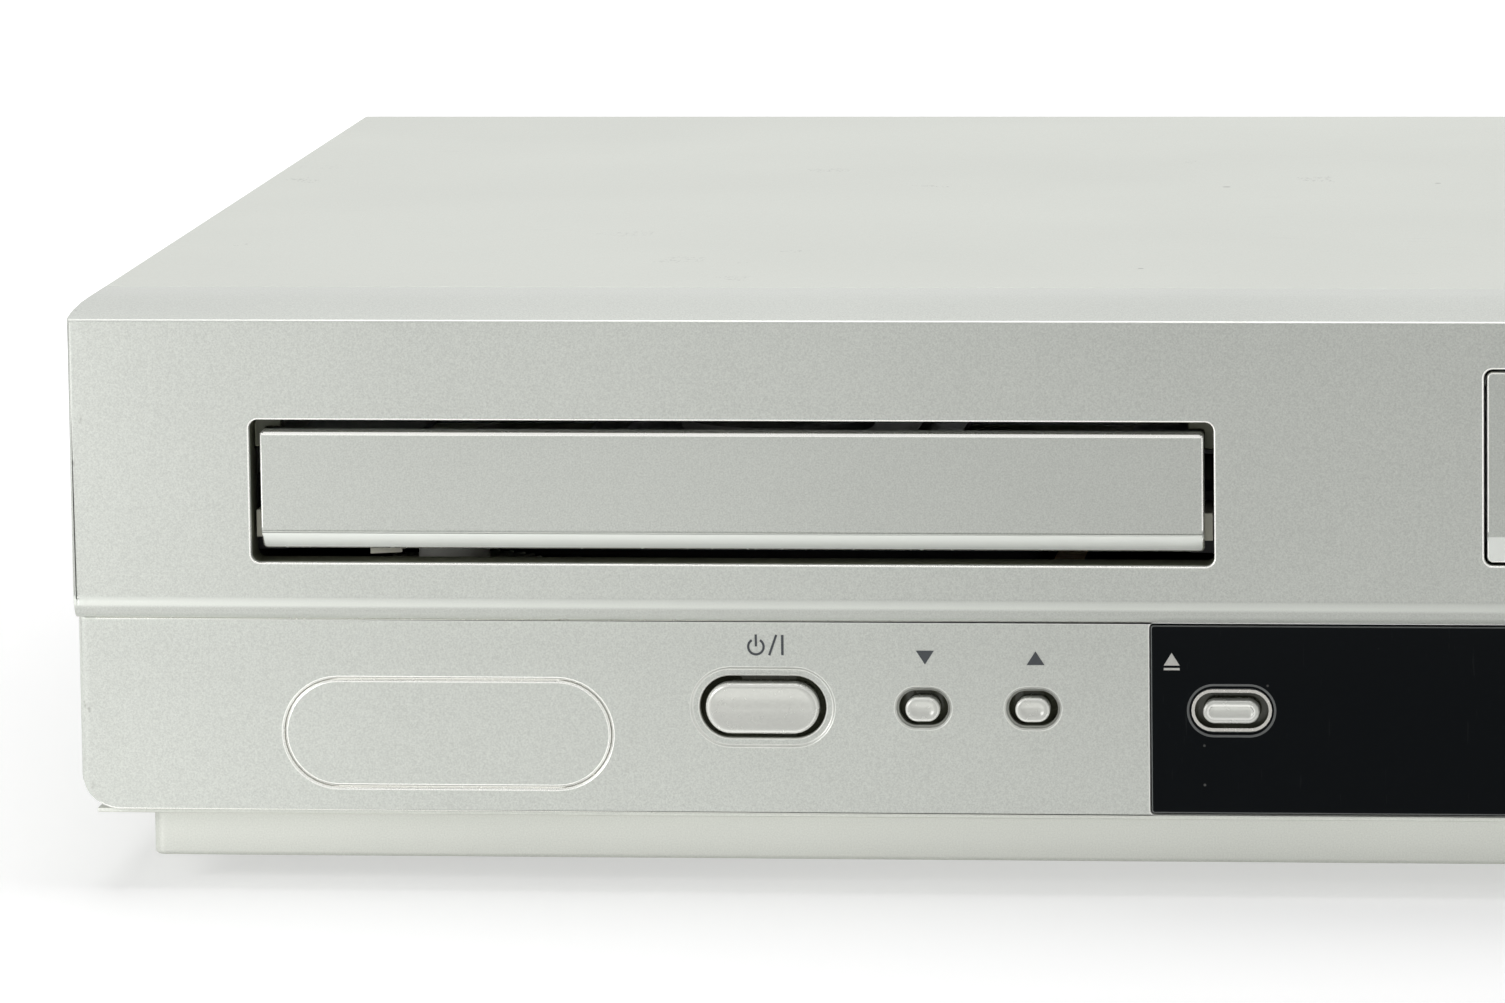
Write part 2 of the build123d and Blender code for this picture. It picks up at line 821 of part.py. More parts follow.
def disc_tray():
    half = tray_width / 2
    y = (tray_front, tray_rear)
    tray = block((drawer_x - half, drawer_x + half), y, (tray_bottom, tray_top))
    tray = fillet(tray.edges().filter_by(Axis.Z).group_by(Axis.Y)[-1], 6.0)
    tray -= disc(drawer_x, spindle_y, disc_radius, (tray_floor, tray_top + 1))
    tray -= disc(drawer_x, spindle_y, small_disc_radius, (tray_floor - small_disc_step, tray_top + 1))
    for side in (-1, 1):
        x = drawer_x + side * (half - 9)
        tray -= block((x - 4, x + 4), (tray_rear - 26, tray_rear + 1), (tray_floor, tray_top + 1))
    half_slot = tray_slot_width / 2
    tray -= block((drawer_x - half_slot, drawer_x + half_slot), (spindle_y, tray_rear + 1),
                  (tray_bottom - 1, tray_top + 1))
    tray -= disc(drawer_x, spindle_y, half_slot, (tray_bottom - 1, tray_top + 1))
    return tray + tray_rack()


def tray_rack():
    """The rack under the tray: a straight bar with thin teeth towards the pinion."""
    left = drawer_x - rack_offset - rack_width / 2
    line = left + rack_width
    root = line - 1.15 * rack_module
    tip = line + 0.8 * rack_module
    pitch = pi * rack_module
    first = 5.0
    count = int((tray_rear - 3 - first) / pitch)
    offset = (gear_y - first) / pitch
    start = gear_y - (int(offset) - 0.5) * pitch
    points = [(left, first)]
    for number in range(count):
        middle = start + number * pitch
        for x, half in ((root, -0.95), (tip, -0.30), (tip, 0.30), (root, 0.95)):
            points.append((x, middle + half * rack_module))
    points.append((left, points[-1][1]))
    bar = extrude(make_face(Polyline(*points, close=True)), tray_bottom + 0.1 - rack_bottom)
    return Pos(0, 0, rack_bottom) * bar


def loader_frame():
    """The moulded frame: side walls with rails, front beam, deck with the traverse opening."""
    y = (loader_front, loader_rear)
    frame = block((drawer_x - loader_half, drawer_x + loader_half), y, (loader_bottom, loader_top))
    frame -= block((drawer_x - rail_half, drawer_x + rail_half), (y[0] - 1, y[1] - loader_wall),
                   (deck_high, loader_top + 1))
    frame -= block((drawer_x - rail_half, drawer_x + rail_half), (y[0] - 1, y[1] - loader_wall),
                   (loader_bottom - 1, deck_low))
    frame -= block((drawer_x - traverse_gap_x, drawer_x + traverse_gap_x),
                   (traverse_gap_front, traverse_gap_rear), (deck_low - 1, deck_high + 1))
    frame -= block((drawer_x - loader_half - 1, drawer_x + loader_half + 1),
                   (y[0] - 1, loader_front_low), (loader_bottom - 1, wheel_low - 1))
    for side in (-1, 1):
        edge = drawer_x + side * rail_half
        inner = edge - side * ledge_width
        x = (min(edge, inner), max(edge, inner))
        frame += block(x, y, (ledge_low, tray_bottom - fit_gap))
        for tab in (loader_front + 6, 104.0, 168.0):
            frame += block(x, (tab, tab + 12), (tray_top + fit_gap, tray_top + fit_gap + 1.6))
        lug = drawer_x + side * loader_half
        outer = lug + side * lug_length
        for lug_y in (lug_front_y, lug_rear_y):
            frame += block((min(lug - side * 0.2, outer), max(lug - side * 0.2, outer)),
                           (lug_y - lug_width / 2, lug_y + lug_width / 2),
                           (loader_bottom, loader_bottom + lug_thickness))
        hinge = drawer_x + side * (traverse_half_width + 0.9)
        reach = drawer_x + side * (traverse_gap_x + 2)
        frame += hinge_ear(min(hinge, reach), max(hinge, reach))
    for x, top in ((gear_x, wheel_high + 4), (pulley_x, wheel_high + 1)):
        frame += disc(x, gear_y, gear_axle_radius, (deck_high - 0.1, top))
    frame -= disc(motor_x, motor_y, 3.0, (deck_low - 1, deck_high + 1))
    for x, lug_y in loader_posts():
        frame -= disc(x, lug_y, 2.0, (loader_bottom - 1, loader_bottom + lug_thickness + 1))
    return frame


def hinge_ear(low, high):
    """An ear on the deck in which a stub of the traverse turns."""
    y = traverse_rear - 5
    ear = block((low, high), (y - 4, y + 4), (deck_low, traverse_hinge_z + 4))
    return ear - rod_along_x(y, traverse_hinge_z, 1.5 + axle_clearance, (low - 1, high + 1))


def loader_drive_gear():
    bore = gear_axle_radius + axle_clearance
    wheel = gear(wheel_teeth, wheel_module, (wheel_low, wheel_high), gear_x, gear_y, bore)
    hub = ring(gear_x, gear_y, 4.5, bore, (deck_high + 0.5, wheel_low + 0.1))
    neck = ring(gear_x, gear_y, pinion_radius - 1.3, bore, (wheel_high - 0.1, rack_bottom + 0.3))
    top = (rack_bottom + 0.2, tray_bottom - fit_gap)
    pinion = gear(pinion_teeth, rack_module, top, gear_x, gear_y, bore, pi)
    return wheel + hub + neck + pinion


def loader_pulley_gear():
    bore = gear_axle_radius + axle_clearance
    rim = ring(pulley_x, gear_y, pulley_radius, bore, (pulley_low, pulley_high))
    middle = (pulley_low + pulley_high) / 2
    groove = disc(pulley_x, gear_y, pulley_radius + 1, (middle - 0.9, middle + 0.9))
    groove -= disc(pulley_x, gear_y, pulley_radius - 1.6, (middle - 1, middle + 1))
    turn = pi + pi / small_teeth
    pinion = gear(small_teeth, wheel_module, (pulley_high - 0.1, wheel_high), pulley_x, gear_y,
                  bore, turn)
    return (rim - groove) + pinion


def loader_motor():
    top = deck_low - 0.05
    can = disc(motor_x, motor_y, motor_radius, (top - motor_length, top))
    can = chamfer(can.edges().group_by(Axis.Z)[0], 0.8)
    cap = disc(motor_x, motor_y, 2.6, (top - 0.1, deck_high))
    return can + cap


def loader_motor_pulley():
    middle = (pulley_low + pulley_high) / 2
    body = disc(motor_x, motor_y, motor_pulley_radius, (pulley_low, pulley_high))
    groove = disc(motor_x, motor_y, motor_pulley_radius + 1, (middle - 0.9, middle + 0.9))
    groove -= disc(motor_x, motor_y, motor_pulley_radius - 1.6, (middle - 1, middle + 1))
    shaft = disc(motor_x, motor_y, 1.0, (deck_high + fit_gap, pulley_low + 0.1))
    return body - groove + shaft


def drive_belt():
    """A flat-sided belt round both pulleys, held just clear of their grooves."""
    middle = (pulley_low + pulley_high) / 2
    small = motor_pulley_radius - 1.6 + 0.15
    large = pulley_radius - 1.6 + 0.15
    outer = belt_loop(small + belt_thickness, large + belt_thickness)
    inner = belt_loop(small, large)
    return Pos(0, 0, middle - 0.6) * extrude(outer - inner, 1.2)


def belt_loop(small, large):
    """The area inside a loop drawn tight round the two pulleys."""
    distance = (motor_offset_x ** 2 + motor_offset_y ** 2) ** 0.5
    heading = atan2(motor_offset_y, motor_offset_x)
    lean = asin((large - small) / distance)
    points = []
    for radius, x, y, sign in ((large, pulley_x, gear_y, 1), (small, motor_x, motor_y, 1),
                               (small, motor_x, motor_y, -1), (large, pulley_x, gear_y, -1)):
        angle = heading + sign * (pi / 2 - lean)
        points.append((x + radius * cos(angle), y + radius * sin(angle)))
    area = make_face(Polyline(*points, close=True))
    area += Pos(pulley_x, gear_y) * Circle(large)
    area += Pos(motor_x, motor_y) * Circle(small)
    return area


def traverse_frame():
    """The swinging frame that carries the spindle motor, the rods and the sled."""
    y = (traverse_front, traverse_rear)
    z = (traverse_low, traverse_high)
    frame = block((drawer_x - traverse_half_width, drawer_x + traverse_half_width), y, z)
    frame = fillet(frame.edges().filter_by(Axis.Z), 3.0)
    frame -= block((drawer_x - traverse_window, drawer_x + traverse_window),
                   (sled_front - 1.5, traverse_rear - 18), (z[0] - 1, z[1] + 1))
    frame -= disc(drawer_x, spindle_y, spindle_motor_radius + 0.05, (z[0] - 1, z[1] + 1))
    for side in (-1, 1):
        x = drawer_x + side * rod_offset
        for low in (sled_front - 7.5, traverse_rear - 18):
            lug = block((x - 3.5, x + 3.5), (low, low + 6), (z[1] - 0.1, rod_z + 3))
            frame += lug
        frame -= rod_along_y(x, rod_z, rod_radius + 0.02, (sled_front - 6.5, traverse_rear - 13))
        stub_in = drawer_x + side * (traverse_half_width - 0.1)
        stub_out = drawer_x + side * (traverse_half_width + 3.2)
        frame += rod_along_x(traverse_rear - 5, traverse_hinge_z, 1.5,
                             (min(stub_in, stub_out), max(stub_in, stub_out)))
    x = drawer_x + screw_offset
    frame += block((x - 3, x + 6), (sled_front - 7.5, sled_front - 3.5), (z[1] - 0.1, rod_z + 3))
    frame -= rod_along_y(x, rod_z, screw_radius + 0.1, (sled_front - 6, sled_front))
    seat = x + sled_motor_radius + 0.05
    frame += block((seat, seat + 4), (sled_motor_front + 1, sled_motor_front + sled_motor_length),
                   (z[1] - 0.1, rod_z + 2))
    return frame


def spindle_motor():
    base = disc(drawer_x, spindle_y, spindle_motor_radius, (traverse_low - 3, traverse_high + 5.6))
    plate = block((drawer_x - 17, drawer_x + 17), (spindle_y - 16, spindle_y + 15.5),
                  (traverse_high + 0.02, traverse_high + 1.2))
    shaft = disc(drawer_x, spindle_y, 0.8, (traverse_high + 5.5, traverse_high + 7))
    return base + plate + shaft


def turntable():
    low = traverse_high + 5.9
    body = disc(drawer_x, spindle_y, turntable_radius, (turntable_top - 2.0, turntable_top))
    hub = disc(drawer_x, spindle_y, 5.0, (low, turntable_top - 1.9))
    cone = Pos(drawer_x, spindle_y, (turntable_top + cone_top) / 2 - 0.05) * Cone(
        cone_radius, cone_radius - 1.4, cone_top - turntable_top + 0.1)
    seat = ring(drawer_x, spindle_y, turntable_radius, cone_radius + 3, (turntable_top - 0.1,
                                                                       turntable_top + 0.4))
    return body + hub + cone + seat - disc(drawer_x, spindle_y, 0.86, (low - 1, low + 1.4))


def pickup_sled():
    """The sled: body with bores on one rod, fork on the other, lens bridge and nut arm."""
    y = (sled_front, sled_front + sled_length)
    half = rod_offset + 4.0
    body = block((drawer_x - half, drawer_x + half), (y[0] + 4, y[1] - 4), (sled_low, sled_high))
    body += block((drawer_x - 18, drawer_x + 18), y, (sled_low, sled_high))
    body -= rod_along_y(drawer_x - rod_offset, rod_z, rod_radius + 0.08, (y[0] - 1, y[1] + 1))
    body -= block((drawer_x + rod_offset - 1.75, drawer_x + rod_offset + 1.75),
                  (y[0] - 1, y[1] + 1), (rod_z - 1.75, rod_z + 1.75))
    right = drawer_x + screw_offset
    body -= block((right - 2.2, right + 2.2), (y[0] - 1, y[1] + 1), (rod_z - 2.2, rod_z + 2.2))
    deck = block((drawer_x - 10, drawer_x + 10), (y[0] + 1, y[0] + 22), (sled_high - 0.1,
                                                                       sled_high + 0.9))
    lens_y = sled_front + 8
    mount = ring(drawer_x, lens_y, lens_radius + 1.4, lens_radius - 1.2, (sled_high + 0.8,
                                                                       lens_top - 0.4))
    lens = disc(drawer_x, lens_y, lens_radius - 1.1, (sled_high + 0.8, lens_top - 1.0))
    dome = Pos(drawer_x, lens_y, lens_top - 1.05) * Cylinder(lens_radius - 1.8, 0.8)
    return body + deck + mount + lens + dome


def guide_rods():
    y = (sled_front - 6.4, traverse_rear - 13.1)
    rods = [rod_along_y(drawer_x + side * rod_offset, rod_z, rod_radius, y) for side in (-1, 1)]
    return Compound(children=rods)


def lead_screw():
    x = drawer_x + screw_offset
    return rod_along_y(x, rod_z, screw_radius, (sled_front - 5.6, sled_motor_front - 0.1))


def sled_motor():
    return rod_along_y(drawer_x + screw_offset, rod_z, sled_motor_radius,
                       (sled_motor_front, sled_motor_front + sled_motor_length))


def clamp_bridge():
    """The steel strap across the loader that holds the clamp puck over the turntable."""
    z = (loader_top + 0.02, loader_top + bridge_sheet)
    y = (spindle_y - bridge_y_half, spindle_y + bridge_y_half)
    strap = block((drawer_x - loader_half, drawer_x + loader_half), y, z)
    strap = fillet(strap.edges().filter_by(Axis.Z), 4.0)
    strap -= disc(drawer_x, spindle_y, puck_neck_radius + 1.0, (z[0] - 1, z[1] + 1))
    for side in (-1, 1):
        strap -= block((drawer_x + side * 45 - 14, drawer_x + side * 45 + 14),
                       (spindle_y - 12, spindle_y + 12), (z[0] - 1, z[1] + 1))
        x = drawer_x + side * 24
        strap += block((x - 0.8, x + 0.8), y, (z[1] - 0.1, z[1] + 2))
    return strap


def clamp_puck():
    top = loader_top + bridge_sheet
    neck = disc(drawer_x, spindle_y, puck_neck_radius, (puck_low, top + puck_gap + 0.1))
    flange = disc(drawer_x, spindle_y, puck_flange_radius, (top + puck_gap, top + puck_gap + 1.6))
    boss = disc(drawer_x, spindle_y, 7.0, (top + puck_gap + 1.5, top + puck_gap + 3.2))
    hollow = disc(drawer_x, spindle_y, cone_radius + 0.6, (puck_low - 1, puck_low + 1.8))
    return neck + flange + boss - hollow


def loader_dampers():
    bodies = []
    for x, y in loader_posts():
        body = ring(x, y, damper_radius, 2.0, (loader_bottom - damper_height, loader_bottom - 0.05))
        middle = loader_bottom - damper_height / 2
        body -= ring(x, y, damper_radius + 1, damper_radius - 1.2, (middle - 0.8, middle + 0.8))
        bodies.append(body)
    return Compound(children=bodies)


def disc_board():
    top = disc_board_low + board_thickness
    board = block((drawer_x - disc_board_half, drawer_x + disc_board_half), disc_board_y,
                  (disc_board_low, top))
    for x, y, size, height in ((-20, 90, 20, 2.2), (14, 90, 14, 2.0), (-20, 130, 16, 2.0),
                               (20, 132, 12, 1.8)):
        middle = drawer_x + x
        board += block((middle - size / 2, middle + size / 2), (y - size / 2, y + size / 2),
                       (top - 0.1, top + height))
    board += block((drawer_x - 14, drawer_x + 14), disc_plug_y, (top - 0.1, top + 5))
    return board


# ---- cassette side ----
def tape_flap():
    low = bay_bottom + flap_gap
    high = bay_bottom + bay_height - flap_gap
    front = flap_set_back
    plate = panel(bay_x, (low + high) / 2, 2 * flap_half, high - low, slot_corner - flap_gap,
                  (front, front + flap_thickness))
    for side in (-1, 1):
        edge = bay_x + side * flap_half
        inner = edge - side * 3
        x = (min(edge, inner), max(edge, inner))
        plate += block(x, (front + 1, flap_pin_y + 2.2), (flap_pin_z - 2.2, high - 0.4))
        pin_end = edge + side * 4.4
        pin_start = edge - side * 0.1
        plate += rod_along_x(flap_pin_y, flap_pin_z, flap_pin_radius,
                             (min(pin_start, pin_end), max(pin_start, pin_end)))
    for z in (low + 6, high - 9):
        plate += block((bay_x - flap_half + 8, bay_x + flap_half - 8),
                       (front + flap_thickness - 0.1, front + flap_thickness + 0.9), (z, z + 1.2))
    return plate


def deck_chassis():
    half = guide_half
    plate = block((bay_x - half, bay_x + half), (deck_front, deck_rear), (deck_low_z, deck_plate_top))
    plate = fillet(plate.edges().filter_by(Axis.Z), 4.0)
    plate -= disc(bay_x + capstan_offset, capstan_y, 3.5, (deck_low_z - 1, deck_plate_top + 1))
    for side in (-1, 1):
        plate -= block((bay_x + side * 40 - 9, bay_x + side * 40 + 9), (112.0, 132.0),
                       (deck_low_z - 1, deck_plate_top + 1))
        plate += disc(bay_x + side * reel_spacing / 2, reel_y, 1.5,
                      (deck_plate_top - 0.1, deck_plate_top + 12))
    plate += disc(bay_x + pinch_offset, pinch_y, 1.8, (deck_plate_top - 0.1, deck_plate_top + 22))
    return plate


def carriage_guides():
    """The two upright side plates in which the cassette carriage runs, joined by a top tie."""
    bodies = []
    high = holder_high + 3.0
    y = (deck_front + 1, deck_front + 112)
    for side in (-1, 1):
        outer = bay_x + side * guide_half
        inner = bay_x + side * guide_inner
        plate = block((min(outer, inner), max(outer, inner)), y, (deck_plate_top + 0.02, high))
        plate -= block((min(outer, inner) - 1, max(outer, inner) + 1), (y[0] + 12, y[1] - 26),
                       (deck_plate_top + 8, deck_plate_top + 26))
        foot = bay_x + side * (guide_half - 7)
        plate += block((min(outer, foot), max(outer, foot)), (y[1] - 14, y[1]),
                       (deck_plate_top + 0.02, deck_plate_top + 1.2))
        bodies.append(plate)
    return Compound(children=bodies)


def cassette_carriage():
    """Two side plates with upright slots, joined over the holder by a cross bar."""
    top = holder_high + 1.2
    y = (holder_front + 2, holder_front + holder_depth)
    low = holder_low - holder_drop + 4
    shape = block((bay_x - carriage_half, bay_x + carriage_half), y, (low, top + sheet))
    shape -= block((bay_x - carriage_inner, bay_x + carriage_inner), (y[0] - 1, y[1] + 1),
                   (low - 1, top))
    shape -= block((bay_x - carriage_inner + 10, bay_x + carriage_inner - 10),
                   (y[0] + 14, y[1] - 14), (top - 1, top + 2))
    return shape


def cassette_holder():
    """The open basket for the cassette: roof, side walls and a narrow ledge along each side."""
    y = (holder_front, holder_front + holder_depth)
    z = (holder_low, holder_high)
    shape = block((bay_x - holder_half, bay_x + holder_half), y, z)
    shape -= block((bay_x - holder_inner, bay_x + holder_inner), (y[0] - 1, y[1] - sheet),
                   (z[0] + sheet, z[1] - sheet))
    shape -= block((bay_x - holder_inner + 14, bay_x + holder_inner - 14), (y[0] - 1, y[1] + 1),
                   (z[0] - 1, z[0] + 10))
    shape -= block((bay_x - 52, bay_x + 52), (y[0] + 12, y[1] - 12), (z[1] - 2, z[1] + 1))
    return shape


def reel_table(side):
    x = bay_x + side * reel_spacing / 2
    low = deck_plate_top + 0.5
    body = disc(x, reel_y, reel_radius, (low, low + 3))
    body += disc(x, reel_y, 7.5, (low + 2.9, low + 8.5))
    body += disc(x, reel_y, 4.2, (low + 8.4, low + 14.5))
    for number in range(3):
        turn = Pos(x, reel_y, low + 11.4) * Rot(0, 0, 120 * number)
        body += turn * Pos(4.6, 0, 0) * Box(2.4, 1.4, 6.0)
    return body - disc(x, reel_y, 1.5 + axle_clearance, (low - 1, low + 12.2))


def drum_frame():
    """The leaning frame of the head drum: origin at its foot, Z along its axis."""
    return Pos(bay_x, drum_y, deck_plate_top) * Rot(drum_tilt, 0, 0)


def head_drum_lower():
    lean = drum_frame()
    body = Pos(0, 0, 12.5) * Cylinder(drum_radius, 13.0)
    foot = Pos(0, 0, 5.4) * Cylinder(drum_radius - 9, 3.0)
    shape = lean * (body + foot - Pos(0, 0, 12) * Cylinder(3.1, 30))
    base = block((bay_x - 26, bay_x + 26), (drum_y - 24, drum_y + 24),
                 (deck_plate_top + 0.02, deck_plate_top + 1.6))
    for side in (-1, 1):
        base += block((bay_x + side * 18 - 3, bay_x + side * 18 + 3), (drum_y - 8, drum_y + 8),
                      (deck_plate_top + 1.5, deck_plate_top + 6.5))
    return shape + base


def head_drum_upper():
    lean = drum_frame()
    body = Pos(0, 0, 26.4) * Cylinder(drum_radius, 14.0)
    body -= Pos(0, 0, 32.4) * (Cylinder(drum_radius - 5, 3.2) - Cylinder(9.0, 4.0))
    for number in range(4):
        body -= Rot(0, 0, 90 * number) * Pos(drum_radius, 0, 19.9) * Box(3.0, 3.0, 1.6)
    shaft = Pos(0, 0, 19.0) * Cylinder(3.0, 18.0)
    return lean * (body + shaft)


def capstan():
    x = bay_x + capstan_offset
    wheel = disc(x, capstan_y, flywheel_radius, (9.0, 15.0))
    wheel = chamfer(wheel.edges().group_by(Axis.Z)[0], 0.8)
    hub = disc(x, capstan_y, 7.0, (14.9, 17.4))
    shaft = disc(x, capstan_y, 1.5, (17.3, 62.0))
    return wheel + hub + shaft


def capstan_stator():
    x = bay_x + capstan_offset
    top = deck_low_z - 0.02
    board = block((x - 30, x + 30), (capstan_y - 27, capstan_y + 27), (top - 1.6, top))
    board = fillet(board.edges().filter_by(Axis.Z), 5.0)
    board -= disc(x, capstan_y, 2.6, (top - 3, top + 1))
    bearing = ring(x, capstan_y, 3.3, 1.5 + axle_clearance, (top - 0.1, deck_plate_top + 14))
    return board + bearing


def pinch_arm():
    """The arm on its pivot, drawn along X and then turned to where it rests."""
    low = deck_plate_top + 8
    arm = ring(0, 0, 4.0, 1.8 + axle_clearance, (low, low + 12))
    arm += block((3.0, pinch_reach), (-1.5, 1.5), (low, low + 4))
    arm += disc(pinch_reach, 0, 1.4, (low, low + 22))
    arm += disc(pinch_reach, 0, 5.5, (low + 6, low + 20))
    return Pos(bay_x + pinch_offset, pinch_y, 0) * Rot(0, 0, pinch_rest_angle) * arm


# ---- electronics ----
def front_board():
    board = block((board_left * spread, half_width - board_inset),
                  (board_y, board_y + board_thickness), (board_low, board_high))
    for x in all_keys():
        z = eject_z if x in (disc_eject_x, tape_eject_x) else key_z
        half = switch_size / 2
        board += block((x - half, x + half), (switch_front + 0.4, board_y + 0.1), (z - half, z + half))
        board += rod_along_y(x, z, 1.3, (switch_front, switch_front + 0.5))
    return board


def all_keys():
    return (power_x, programme_down_x, programme_up_x, disc_eject_x, tape_eject_x,
            rewind_x, forward_x, play_x, stop_x, record_x)


def display_tube():
    y = (panel_y + wall + 2.5, board_y - 0.02)
    tube = block((-tube_half_width, tube_half_width), y, (tube_low, tube_high))
    return chamfer(tube.edges().filter_by(Axis.Y), 0.8)


def front_sockets():
    bodies = []
    for number in range(socket_count):
        x = socket_start_x + number * socket_pitch
        face = panel_y + 0.6
        sleeve = rod_along_y(x, key_z, 4.15, (face, board_y - 2.9))
        sleeve -= rod_along_y(x, key_z, 3.3, (face - 1, board_y - 4))
        core = rod_along_y(x, key_z, 2.6, (face + 0.4, board_y - 3.5))
        core -= rod_along_y(x, key_z, 1.65, (face, board_y - 4))
        base = block((x - 5.5, x + 5.5), (board_y - 3, board_y - 0.02), (key_z - 6, key_z + 6))
        bodies.append(sleeve + core + base)
    return Compound(children=bodies)


def power_board():
    """The board at the left rear: transformer, smoothing cans and a finned heat sink."""
    low = board_post_top + 0.02
    top = low + board_thickness
    left = power_board_left
    board = block((left, power_board_right), power_board_y, (low, top))
    coil_x = left + 38
    coil_y = 228.0
    transformer = block((coil_x - 16, coil_x + 16), (coil_y - 16, coil_y + 16), (top - 0.1, top + 26))
    transformer -= block((coil_x - 8, coil_x + 8), (coil_y - 20, coil_y + 20), (top + 6, top + 20))
    board += transformer + disc(coil_x, coil_y, 13.0, (top - 0.1, top + 22))
    for step, y, radius, height in ((72, 224, 9, 30), (94, 222, 6, 20), (110, 224, 5, 16),
                                    (94, 240, 5, 16), (110, 242, 4, 14)):
        board += upright_can(left + step, y, radius, (top - 0.1, top + height))
    board += block((left + 56, left + 116), (256.0, 257.6), (top - 0.1, top + 30))
    for number in range(7):
        x = left + 58 + number * 9.0
        board += block((x, x + 1.4), (257.5, 268.0), (top + 4, top + 30))
    return board


def upright_can(x, y, radius, z):
    """A capacitor's can, bevelled round its top."""
    can = disc(x, y, radius, z)
    return chamfer(can.edges().group_by(Axis.Z)[-1], 0.6)


def main_board():
    """The board at the right rear that carries the rear sockets and the tuner."""
    low = board_post_top + 0.02
    top = low + board_thickness
    left = main_board_left
    board = block((left, main_board_right), main_board_y, (low, top))
    for step, y, size, height in ((56, 240, 26, 3), (100, 238, 18, 3), (142, 240, 22, 3),
                                  (182, 236, 14, 2.5)):
        x = left + step
        board += block((x - size / 2, x + size / 2), (y - size / 2, y + size / 2),
                       (top - 0.1, top + height))
    for step in (16, 28):
        board += upright_can(left + step, 232, 4.0, (top - 0.1, top + 12))
        board += upright_can(main_board_right - 22 - step, 232, 4.0, (top - 0.1, top + 12))
    return board


def scart_sockets():
    """Two 21-way sockets: a raised shell round a tongue, with the box body behind."""
    bodies = []
    for x in scart_x:
        y = (rear_face - scart_depth, rear_face + 1.0)
        shell = panel(x, scart_z, scart_width, scart_height, 1.0, y)
        room = panel(x, scart_z, scart_width - 3, scart_height - 3, 0.8, (y[0] + 1.5, y[1] + 1))
        shell -= room
        shell += panel(x, scart_z, scart_width - 10, 4.0, 0.4, (y[0] + 1.4, y[1] - 1.5))
        shell += block((x - scart_width / 2, x + scart_width / 2), (y[0], y[0] + 8),
                       (board_deck, scart_z - scart_height / 2 + 0.2))
        bodies.append(shell)
    return Compound(children=bodies)


def tuner_can():
    """The screened tuner with its two aerial sockets through the rear panel."""
    x = (aerial_x - 12, aerial_x + 12)
    low = board_deck
    can = block(x, (rear_inside - 56, rear_inside - 0.3), (low, aerial_z[1] + 14))
    can = chamfer(can.edges().filter_by(Axis.Z), 0.8)
    for z in aerial_z:
        reach = (rear_inside - 0.5, rear_face + aerial_length)
        can += rod_along_y(aerial_x, z, aerial_radius, reach)
        can -= rod_along_y(aerial_x, z, aerial_radius - 0.9, (rear_inside + 0.2, reach[1] + 1))
        can += rod_along_y(aerial_x, z, 1.2, (rear_inside, reach[1] - 1))
    return can


def rear_phonos():
    bodies = []
    for x in phono_x:
        column = None
        for z in phono_z:
            sleeve = rod_along_y(x, z, phono_radius, (rear_inside - 0.5, rear_face + phono_reach))
            sleeve -= rod_along_y(x, z, phono_radius - 0.9, (rear_inside + 0.2,
                                                             rear_face + phono_reach + 1))
            sleeve += rod_along_y(x, z, 2.4, (rear_inside, rear_face + phono_reach - 1))
            sleeve -= rod_along_y(x, z, 1.6, (rear_face, rear_face + phono_reach))
            column = sleeve if column is None else column + sleeve
        column += block((x - 6.5, x + 6.5), (rear_inside - 12, rear_inside - fit_gap),
                        (board_deck, phono_z[1] + 6))
        bodies.append(column)
    return Compound(children=bodies)


def mains_inlet():
    y = (rear_face - inlet_depth, rear_face + 1.2)
    body = panel(inlet_x, inlet_z, inlet_width, inlet_height, 1.6, y)
    lip = panel(inlet_x, inlet_z, inlet_width + 5, inlet_height + 5, 2.5,
                (rear_face + 0.02, rear_face + 1.6))
    room = pill(inlet_x, inlet_z, 15.6, 8.2, (y[0] + 3, rear_face + 2))
    body = body + lip - room
    for side in (-1, 1):
        body += rod_along_y(inlet_x + side * 4.3, inlet_z, 1.2, (y[0] + 2.9, rear_face - 2))
    body += block((inlet_x - 9, inlet_x + 9), (y[0], y[0] + 6),
                  (board_deck, inlet_z - inlet_height / 2 + 0.2))
    return body


